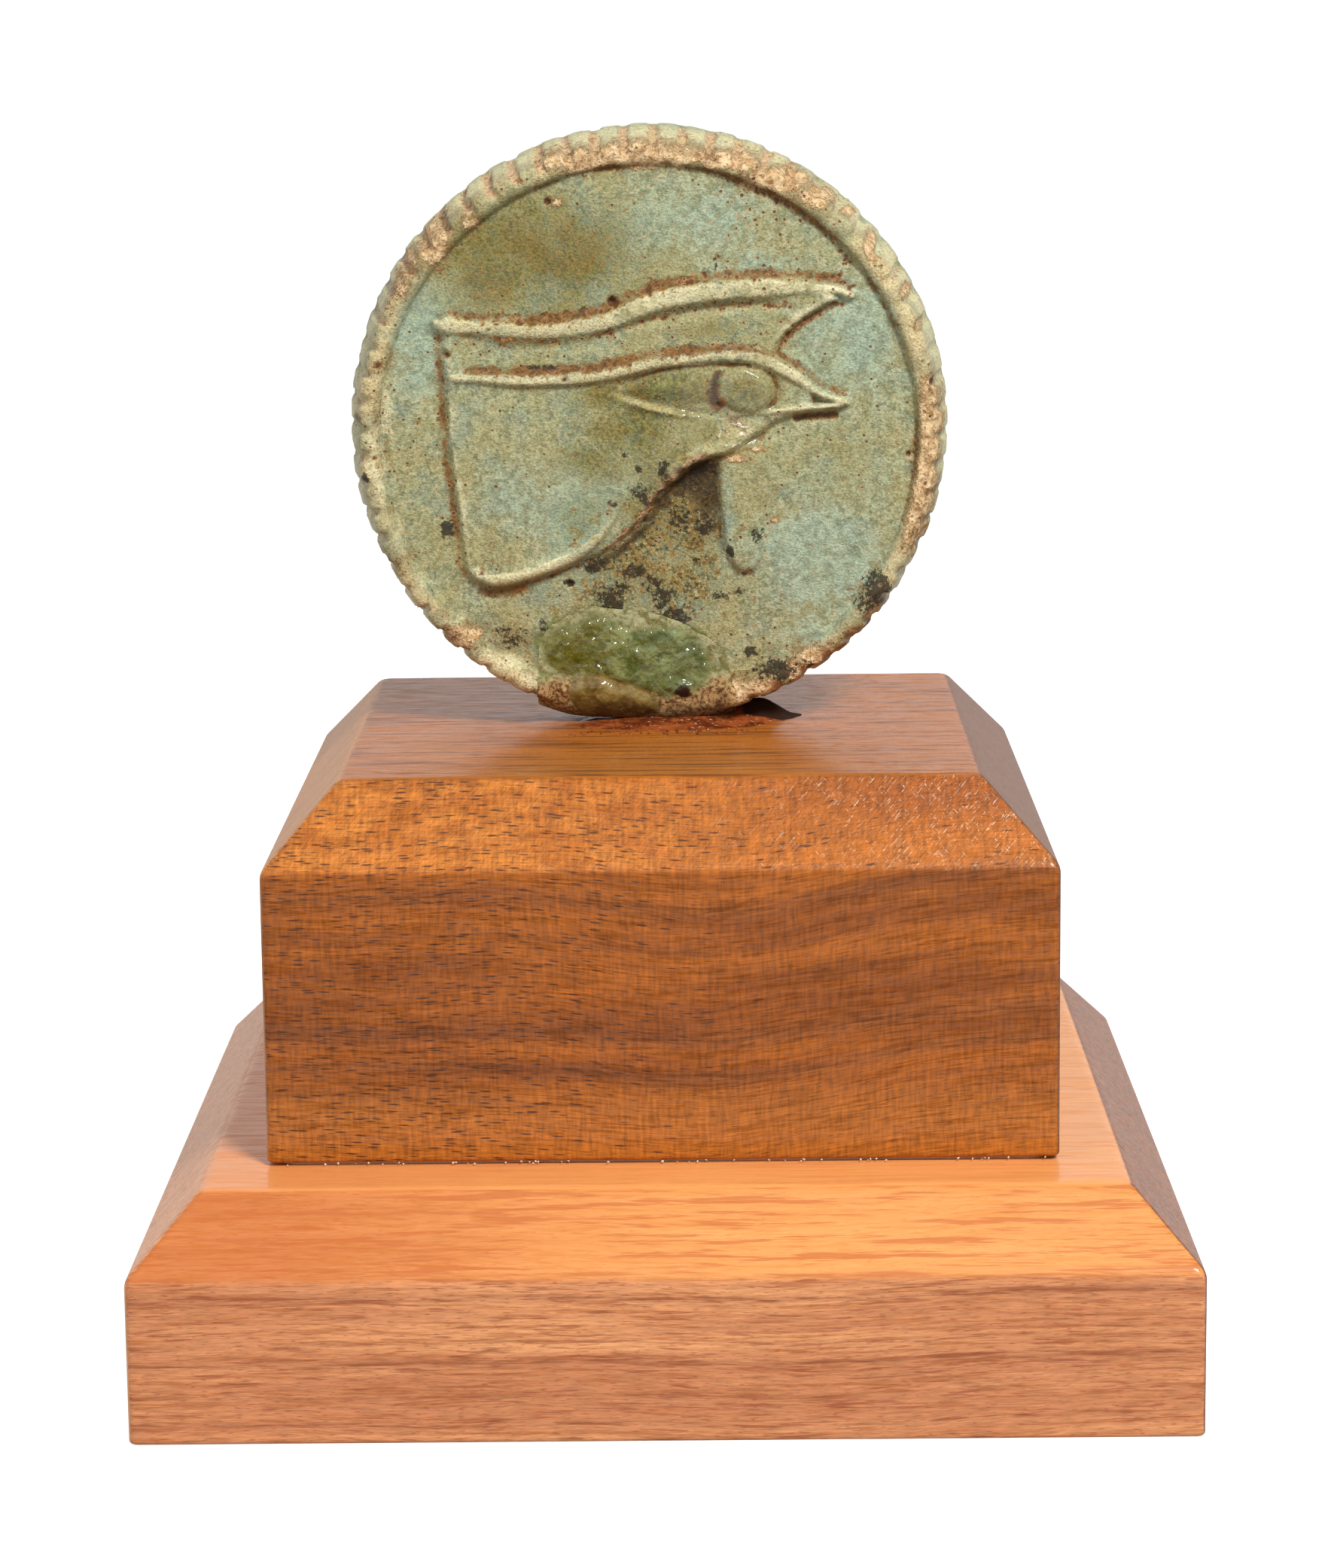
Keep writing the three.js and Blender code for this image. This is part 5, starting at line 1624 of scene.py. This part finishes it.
def woven(finish, wood, grains):
    """Brightens and darkens the wood by fine grains, each a noise and a strength."""
    sheen = 1.0
    for noise, strength in grains:
        sheen = finish.times_plus(finish.minus(noise, 0.5), strength, sheen)
    return finish.mix(1.0, wood, sheen, "MULTIPLY")


def coated(finish, weight, on_top, left_end, right_end):
    """How much lacquer shows: less on the level top, little on the ends."""
    weight = finish.times(weight, finish.times_plus(on_top, -0.3, 1.0))
    ended = finish.plus(left_end, right_end)
    return finish.times(weight, finish.remap(ended, 0.0, 1.0, 1.0, 0.4))


def end_grain(finish, wood, centred, on_top, colours):
    """Colours the left and right ends of a block, and streaks them up their slope."""
    across_grain = finish.math("ABSOLUTE", centred[1])
    below_top = finish.minus(1.0, on_top)
    ends = []
    for way, colour in zip((-1.0, 1.0), colours):
        beyond = finish.minus(finish.times(centred[0], way), across_grain)
        ends.append(finish.times(finish.remap(beyond, -0.2 * MM, 0.3 * MM), below_top))
        wood = finish.lay(wood, (ends[-1], 0.85, colour))
    streak = finish.noise(finish.place, (5.0, 0.3, 5.0), 2.0, 0.6)
    streak = finish.times(finish.minus(streak, 0.5), finish.plus(*ends))
    return *ends, woven(finish, wood, [(finish.plus(streak, 0.5), 1.7)])


print("grain helpers ready")

# %% The upper block's wood
UPPER_BANDS = [(49.4, 1.4, 0.45), (45.6, 0.6, 0.2), (36.6, 1.6, 0.5), (33.1, 1.2, 0.5), (29.9, 0.5, 0.2)]
UPPER_SHOULDER = (51.6 * MM, 52.2 * MM)
UPPER_EDGE = (59.76 * MM, 59.5 * MM)
UPPER_LEDGE = (59.6 * MM, 59.76 * MM)

block_low, block_high = (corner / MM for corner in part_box("upper_block"))
upper_centre = (block_low + block_high) / 2

walnut = Finish("walnut_upper")
bent, level, (flat_x, flat_y, flat_z) = warped(walnut, 2.4, 1.6, 4.0, 2.6)
slow = walnut.noise(bent, (32, 5.0, 3.0), 3.0, 0.6)
lines = walnut.noise(bent, (4.4, 0.6, 0.3), 3.0, 0.7)
hairs = walnut.noise(bent, (2.6, 0.25, 0.13), 2.0, 0.6)
ripple = walnut.noise(walnut.place, (0.36, 3.0, 2.4), 2.0, 0.55)
figure = walnut.noise(walnut.place, (3.4, 1.8, 1.8), 2.0, 0.55)
streaks = walnut.noise(walnut.place, (20, 1.1, 5.0), 3.0, 0.75)
on_chamfer = walnut.times(walnut.remap(flat_z, *UPPER_SHOULDER), walnut.remap(flat_z, *UPPER_EDGE))
on_top = walnut.remap(flat_z, *UPPER_LEDGE)

wood = walnut.lay(
    walnut.blend(slow, 0.34, 0.66, (130, 66, 12), (163, 88, 22)),
    ((flat_z, 33 * MM, 27 * MM), 0.75, (172, 103, 36)),
    ((lines, 0.5, 0.36), 0.45, (112, 58, 18)),
)
wood = layers(walnut, wood, level, walnut.remap(lines, 0.66, 0.36, 0.35, 1.2), UPPER_BANDS, (86, 46, 20))
chamfer_painted_sheen = walnut.times(walnut.remap(figure, 0.36, 0.68), walnut.remap(flat_x, 14 * MM, -12 * MM))
chamfer_painted_shade = walnut.times(walnut.remap(flat_z, 54 * MM, 58 * MM), walnut.remap(flat_x, 0.0, 26 * MM))
# Painted light on the upper chamfer: a paler tone over all, a golden painted sheen on its left and painted
# shade at its upper right.
wood = walnut.lay(
    wood,
    (on_chamfer, 0.5, (188, 108, 38)),
    (walnut.times(chamfer_painted_sheen, on_chamfer), 0.38, (216, 138, 60)),
    (walnut.times(chamfer_painted_shade, on_chamfer), 0.6, (134, 66, 22)),
)
slant = walnut.add("ShaderNodeCombineXYZ", walnut.plus(flat_x, flat_z), 0.0, walnut.minus(flat_x, flat_z))
slant = slant.outputs[0]
hatched = walnut.minus(walnut.noise(slant, (1.4, 1.0, 0.24), 1.0, 0.5), 0.5)
hatched = walnut.times_plus(hatched, on_chamfer, 0.5)
wood = woven(walnut, wood, [(hairs, 1.2), (ripple, 1.3), (hatched, 0.9)])
crowd = walnut.remap(flat_x, -26 * MM, 18 * MM, 0.95, 0.35)
crowd = walnut.times(crowd, walnut.remap(slow, 0.7, 0.35, 0.7, 1.1))
pore = dashes(walnut, bent, (2.2, 0.5, 0.3), crowd)
wood = walnut.lay(
    wood,
    (pore, 0.9, (66, 34, 14)),
    (dashes(walnut, bent, (1.4, 0.4, 0.2), 0.5), 0.55, (84, 44, 16)),
    # Painted light: the level top is made paler.
    (on_top, 0.6, (186, 110, 40)),
    (walnut.times(on_top, walnut.remap(streaks, 0.5, 0.4)), 0.7, (88, 44, 18)),
)
centred = [walnut.minus(flat, upper_centre[axis] * MM) for axis, flat in enumerate((flat_x, flat_y))]
# The ends take end-grain colours, the left painted lighter and the right darker: painted light and shade
# from the room.
left_end, right_end, wood = end_grain(walnut, wood, centred, on_top, ((196, 134, 76), (100, 60, 30)))
print("upper block grain laid")

# %% White glints painted on the lacquer, and its gloss
glint_streaks = walnut.noise(slant, (2.6, 1.0, 0.15), 2.0, 0.6)
cross_glint_streaks = walnut.noise(slant, (0.15, 1.0, 1.8), 2.0, 0.6)
wear_and_glint_share = walnut.times(walnut.remap(flat_x, -8 * MM, 34 * MM), on_chamfer)
for share in (
    walnut.remap(flat_y, -27.5 * MM, -29.5 * MM), walnut.remap(figure, 0.34, 0.56, 0.45, 1.1),
    walnut.minus(1.0, right_end),
):
    wear_and_glint_share = walnut.times(wear_and_glint_share, share)
painted_glints = walnut.math("MAXIMUM", walnut.remap(glint_streaks, 0.58, 0.67), walnut.remap(cross_glint_streaks, 0.61, 0.69))
painted_glints = walnut.times(painted_glints, walnut.remap(walnut.noise(walnut.place, 0.4, 2.0, 0.6), 0.44, 0.56))
painted_glints = walnut.times(painted_glints, wear_and_glint_share)
# Painted highlight: white flecks and streaks stand for glints of light on the lacquer, most on the chamfer's
# right.
wood = walnut.lay(wood, (painted_glints, 0.75, (255, 226, 190)))
weight = walnut.remap(lines, 0.36, 0.58, 0.06, 0.42)
walnut.set(
    Base_Color=wood, Roughness=0.45, Coat_Roughness=0.13, Specular_IOR_Level=0.15,
    Coat_Weight=coated(walnut, weight, on_top, left_end, right_end),
    Normal=walnut.bump(walnut.times_plus(pore, -1.0, walnut.times(hairs, 0.5)), 0.05, 0.6),
)
lacquer = walnut.times_plus(painted_glints, 0.8, walnut.noise(walnut.place, (1.2, 0.7, 0.7), 2.0, 0.5))
walnut.put(walnut.surface.inputs["Coat Normal"], walnut.bump(lacquer, 0.03, 0.5))
upper.data.materials.append(walnut.material)
print("upper block finish has", len(walnut.tree.nodes), "nodes")

# %% The lower block's finish
LOWER_BANDS = [(14.2, 0.7, 0.5), (9.9, 0.4, 0.3), (7.9, 0.7, 0.45), (4.6, 0.4, 0.3), (1.9, 0.5, 0.4)]
LOWER_SHOULDER = (15.6 * MM, 16.2 * MM)
LOWER_LEDGE = (22.8 * MM, 23.0 * MM)

rosy = Finish("walnut_lower")
bent, level, (flat_x, flat_y, flat_z) = warped(rosy, 0.6, 0.5, 10.0, 1.2)
slow = rosy.noise(bent, (70, 6.0, 2.6), 3.0, 0.6)
lines = rosy.noise(bent, (7, 0.8, 0.38), 3.0, 0.68)
hairs = rosy.noise(bent, (2.0, 0.3, 0.15), 2.0, 0.6)
fleck = rosy.noise(bent, (1.1, 0.35, 0.16), 1.0, 0.5)
streak = rosy.noise(bent, (5.0, 0.5, 0.3), 2.0, 0.6)
flame = rosy.noise(rosy.place, (12, 0.6, 0.6), 3.0, 0.7)
on_top = rosy.remap(flat_z, *LOWER_LEDGE)
on_chamfer = rosy.remap(flat_z, *LOWER_SHOULDER)

wood = rosy.lay(
    rosy.blend(slow, 0.34, 0.66, (198, 127, 82), (230, 158, 104)),
    ((flat_x, -12 * MM, -40 * MM), 0.5, (190, 116, 74)),
    ((lines, 0.5, 0.36), 0.55, (170, 98, 58)),
)
wood = layers(rosy, wood, level, rosy.remap(lines, 0.62, 0.36, 0.2, 1.3), LOWER_BANDS, (128, 64, 40))
wood = rosy.lay(wood, ((streak, 0.57, 0.68), 0.65, (148, 74, 46)), ((fleck, 0.6, 0.7), 0.55, (156, 76, 48)))
wood = woven(rosy, wood, [(hairs, 1.05)])
# The ends take end-grain colours, the left painted lighter and the right darker: painted light and shade
# from the room.
ends = end_grain(rosy, wood, (flat_x, flat_y), on_top, ((228, 164, 114), (100, 62, 38)))
left_end, right_end, wood = ends
chamfer_tone = rosy.blend(flat_x, -40 * MM, 10 * MM, (196, 108, 40), (228, 150, 70))
wood = rosy.lay(
    wood,
    (rosy.minus(on_chamfer, rosy.plus(left_end, right_end)), 0.65, chamfer_tone),
    (rosy.times(on_chamfer, rosy.remap(flame, 0.5, 0.39)), 0.7, (186, 98, 44)),
    # Painted light: the level top is made paler.
    (on_top, 0.45, (250, 172, 104)),
)
weight = rosy.remap(lines, 0.36, 0.58, 0.12, 0.45)
rosy.set(
    Base_Color=wood, Roughness=0.45, Coat_Roughness=0.12, Specular_IOR_Level=0.15,
    Coat_Weight=coated(rosy, weight, 0.0, left_end, right_end),
    Normal=rosy.bump(rosy.times_plus(streak, -0.8, hairs), 0.03, 0.5),
)
lacquer = rosy.noise(rosy.place, (1.6, 1.2, 1.2), 2.0, 0.5)
rosy.put(rosy.surface.inputs["Coat Normal"], rosy.bump(lacquer, 0.02, 0.4))
lower.data.materials.append(rosy.material)
print("lower block finish has", len(rosy.tree.nodes), "nodes")

# %% [markdown]
# Glue under the foot and between the blocks
#
# The disc stands in a thin puddle of amber glue that has crept out in an uneven rim. To its right a
# dark lump of the glue rises to the disc and slopes down to the wood; its dark colour is partly
# painted shade under the disc's overhang. The film between the blocks is hidden, but its
# squeezed-out beads dried into pale crumbs along the joint. Crumbs repeat, so Geometry Nodes set
# them: points along a line, pushed about by a seeded draw, each with a small turned and squashed
# pebble.

# %% The puddle of glue
GLUE_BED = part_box("upper_block")[1].z / MM
GLUE_REACH = (12.2, 7.0)
GLUE_MIDDLE = (0.4, 3.7)
GLUE_HIGH = 0.5
GLUE_HIGHEST = 2.0
LUMP_MIDDLE = (10.4, 5.4)
LUMP_REACH = (3.0, 2.3)
LUMP_HIGH = 1.9
PUDDLE_RINGS = 26
PUDDLE_SPACING = 0.35

turns = np.linspace(0, 2 * math.pi, 200, endpoint=False)
ragged = 1 + 0.1 * rough_noise(np.cos(turns) * 8, np.sin(turns) * 8, 3.0, 91)
ragged += 0.2 * np.exp(-((np.mod(turns + math.pi, 2 * math.pi) - math.pi - 0.35) / 0.32) ** 2)
ragged -= 0.3 * np.exp(-((turns - math.pi) / 0.7) ** 2)
puddle_loop = np.array(GLUE_MIDDLE) + ragged[:, None] * np.column_stack([
    GLUE_REACH[0] * np.cos(turns), GLUE_REACH[1] * np.sin(turns),
])


def puddle_top(x, y, share):
    """The puddle's top: a low swell with lumps, the dark one beside the foot the highest."""
    swell = GLUE_HIGH * (1 - smooth(share, 0.3, 1.0)) + 0.05
    lumps = 0.1 * rough_noise(x, y, 1.4, 92) + 0.05
    beside_lump = ((x - LUMP_MIDDLE[0]) / LUMP_REACH[0]) ** 2 + ((y - LUMP_MIDDLE[1]) / LUMP_REACH[1]) ** 2
    lumps = lumps + LUMP_HIGH * np.exp(-beside_lump) * (1 - share ** 6)
    return GLUE_BED + np.clip((swell + lumps) * (1 - share ** 12), 0.02, GLUE_HIGHEST)


def puddle_under(x, y, share):
    """The puddle's flat underside, on the block's top."""
    return np.full(len(x), GLUE_BED)


puddle = lens(
    "foot_glue_puddle", puddle_loop, np.array(GLUE_MIDDLE), PUDDLE_RINGS, puddle_top, puddle_under,
    PUDDLE_SPACING,
)
puddle.data.transform(Matrix.Scale(MM, 4))
print("puddle:", len(puddle.data.polygons), "faces")

# %% The finishes of the wet and the dried glue
amber = Finish("amber_glue")
place = amber.place
murk = amber.noise(place, 1.6, 3.0, 0.6)
crumbs_seen = amber.noise(place, 0.5, 2.0, 0.5)
from_left, from_front = amber.add("ShaderNodeSeparateXYZ", place).outputs[:2]
residue_and_shade = amber.times(amber.remap(from_left, 7 * MM, 9.5 * MM), amber.remap(from_front, 1.8 * MM, 3.2 * MM))
residue_and_shade = amber.broken(residue_and_shade, murk, 0.8, 0.3, 0.6)
amber_tone = amber.blend(murk, 0.35, 0.65, (92, 40, 18), (160, 82, 40))
amber_tone = amber.mix(amber.remap(crumbs_seen, 0.64, 0.7), amber_tone, (206, 160, 124))
# Dark glue beside the foot, partly painted shade under the disc's overhang.
amber_tone = amber.mix(residue_and_shade, amber_tone, (54, 36, 26))
amber.set(
    Base_Color=amber_tone, Roughness=0.5, Coat_Roughness=0.15, Specular_IOR_Level=0.0,
    Coat_Weight=amber.remap(residue_and_shade, 0.0, 1.0, 0.4, 0.04),
    Normal=amber.bump(murk, 0.12, 0.6),
)
puddle.data.materials.append(amber.material)
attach(puddle, "root")
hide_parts("foot_glue")

dry = Finish("dry_glue")
dry_tone = dry.mix(dry.noise(dry.place, 1.2, 3.0, 0.6), (186, 150, 116), (236, 214, 190))
dry.set(Base_Color=dry_tone, Roughness=0.45, Normal=dry.bump(dry.noise(dry.place, 0.4, 2.0, 0.5), 0.05, 0.5))
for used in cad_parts["block_glue"].material_slots:
    used.material = dry.material
print("glue finishes mixed")

# %% Crumbs along the joint and flecks by the foot
FULL_TURN = (6.28, 6.28, 6.28)

wires, given = shape_tree("crumbs", [
    ("Start", "Vector", (0, 0, 0)), ("End", "Vector", (1, 0, 0)), ("Count", "Int", 10),
    ("Spread", "Vector", (0, 0, 0)), ("Smallest", "Float", 0.1), ("Largest", "Float", 0.3),
    ("Seed", "Int", 1), ("Material", "Material", None),
])
line = wires.add("GeometryNodeCurvePrimitiveLine", given["Start"], given["End"])
dots = wires.add("GeometryNodeCurveToPoints", line.outputs[0], given["Count"]).outputs[0]


def draw_vector(low, high, seed_step):
    """A seeded random vector between two limits."""
    node = wires.add("FunctionNodeRandomValue", data_type="FLOAT_VECTOR")
    wires.put(node.inputs[0], low)
    wires.put(node.inputs[1], high)
    wires.put(node.inputs["Seed"], wires.plus(given["Seed"], seed_step))
    return node.outputs[0]


minus = wires.add("ShaderNodeVectorMath", given["Spread"], (-1, -1, -1), operation="MULTIPLY").outputs[0]
pushed = wires.add("GeometryNodeSetPosition", dots)
wires.put(pushed.inputs["Offset"], draw_vector(minus, given["Spread"], 1))
pebble = wires.add("GeometryNodeMeshIcoSphere", 1.0, 2).outputs[0]
placed = wires.add("GeometryNodeInstanceOnPoints", pushed.outputs[0])
wires.put(placed.inputs["Instance"], pebble)
wires.put(placed.inputs["Rotation"], draw_vector((0, 0, 0), FULL_TURN, 2))
smallest = wires.add("ShaderNodeCombineXYZ", *[given["Smallest"]] * 3).outputs[0]
largest = wires.add("ShaderNodeCombineXYZ", *[given["Largest"]] * 3).outputs[0]
wires.put(placed.inputs["Scale"], draw_vector(smallest, largest, 3))
end_tree(wires, placed.outputs[0], given["Material"])


def crumbs(name, values):
    """A row of crumbs as one plain mesh, in metres."""
    made = mesh_object(name, np.zeros((0, 3)), [])
    grow(made, wires, values)
    made.data.transform(Matrix.Scale(MM, 4))
    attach(made, "root")
    return made


joint_low, joint_high = (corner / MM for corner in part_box("upper_block"))
joint_crumbs = crumbs("joint_crumbs", {
    "Start": (joint_low.x + 4, joint_low.y - 0.08, joint_low.z - 0.05),
    "End": (joint_high.x - 4, joint_low.y - 0.08, joint_low.z - 0.05), "Count": 46,
    "Spread": (3.8, 0.1, 0.1), "Smallest": 0.04, "Largest": 0.15, "Seed": 3, "Material": dry.material,
})
foot_flecks = crumbs("foot_flecks", {
    "Start": (-9.0, -4.6, GLUE_BED), "End": (9.0, -4.2, GLUE_BED), "Count": 74,
    "Spread": (1.0, 1.3, 0.05), "Smallest": 0.06, "Largest": 0.24, "Seed": 8, "Material": amber.material,
})
print("crumbs:", len(joint_crumbs.data.polygons) + len(foot_flecks.data.polygons), "faces")

# %% [markdown]
# The room
#
# The photograph was taken on a white table in a white room, with one soft light at the upper
# right and weaker light from all sides. The sky is white for the camera and for reflections, and
# dimmer as a light. The floor glows a little, so that it stays nearly white and only the soft contact
# shadow shows.

# %% Floor, sky and lights
FLOOR_REACH = 12.0
SKY_LIGHT = 0.34
FLOOR_GLOW = 0.75
FLOOR_MIRRORED = 0.6
LIGHTS = {
    "key": ((0.3, -0.56, 0.7), (0, 0, 0.07), 0.2, 8.4),
    "fill": ((-0.6, -0.6, 0.35), (0, 0, 0.06), 0.6, 1.7),
}

bpy.context.scene.view_settings.view_transform = "Standard"
floor = mesh_object("floor", [
    (-FLOOR_REACH, -FLOOR_REACH, 0), (FLOOR_REACH, -FLOOR_REACH, 0),
    (FLOOR_REACH, FLOOR_REACH, 0), (-FLOOR_REACH, FLOOR_REACH, 0),
], [[0, 1, 2, 3]])
pale = Finish("pale_floor")
ray = pale.add("ShaderNodeLightPath").outputs
mirrored = pale.times(ray["Is Glossy Ray"], FLOOR_MIRRORED)
for_camera = pale.math("MAXIMUM", ray["Is Camera Ray"], mirrored)
pale.set(
    Base_Color=pale.mix(for_camera, (150, 150, 148), (236, 236, 235)),
    Roughness=0.9, Specular_IOR_Level=0.0, Emission_Color=(1, 1, 1, 1),
    Emission_Strength=pale.remap(for_camera, 0.0, 1.0, 0.05, FLOOR_GLOW),
)
floor.data.materials.append(pale.material)

world = bpy.data.worlds.new("white_room")
world.use_nodes = True
bpy.context.scene.world = world
sky = Wires(world.node_tree)
sky.tree.nodes.clear()
ray = sky.add("ShaderNodeLightPath").outputs
seen = sky.math("MAXIMUM", ray["Is Camera Ray"], ray["Is Glossy Ray"])
strength = sky.remap(seen, 0.0, 1.0, SKY_LIGHT, 1.0)
background = sky.add("ShaderNodeBackground", (1, 1, 1, 1), strength)
sky.add("ShaderNodeOutputWorld", background.outputs[0])


def soft_light(name, place, target, size, power):
    """A square light that looks at a target, its size in metres and its power in watts."""
    made = bpy.data.lights.new(name, "AREA")
    made.size = size
    made.energy = power
    lamp = bpy.data.objects.new(name, made)
    lamp.location = place
    away = Vector(place) - Vector(target)
    lamp.rotation_euler = away.to_track_quat("Z", "Y").to_euler()
    bpy.context.scene.collection.objects.link(lamp)


for name, (place, target, size, power) in LIGHTS.items():
    soft_light(name, place, target, size, power)
print("floor, sky and lights are set")
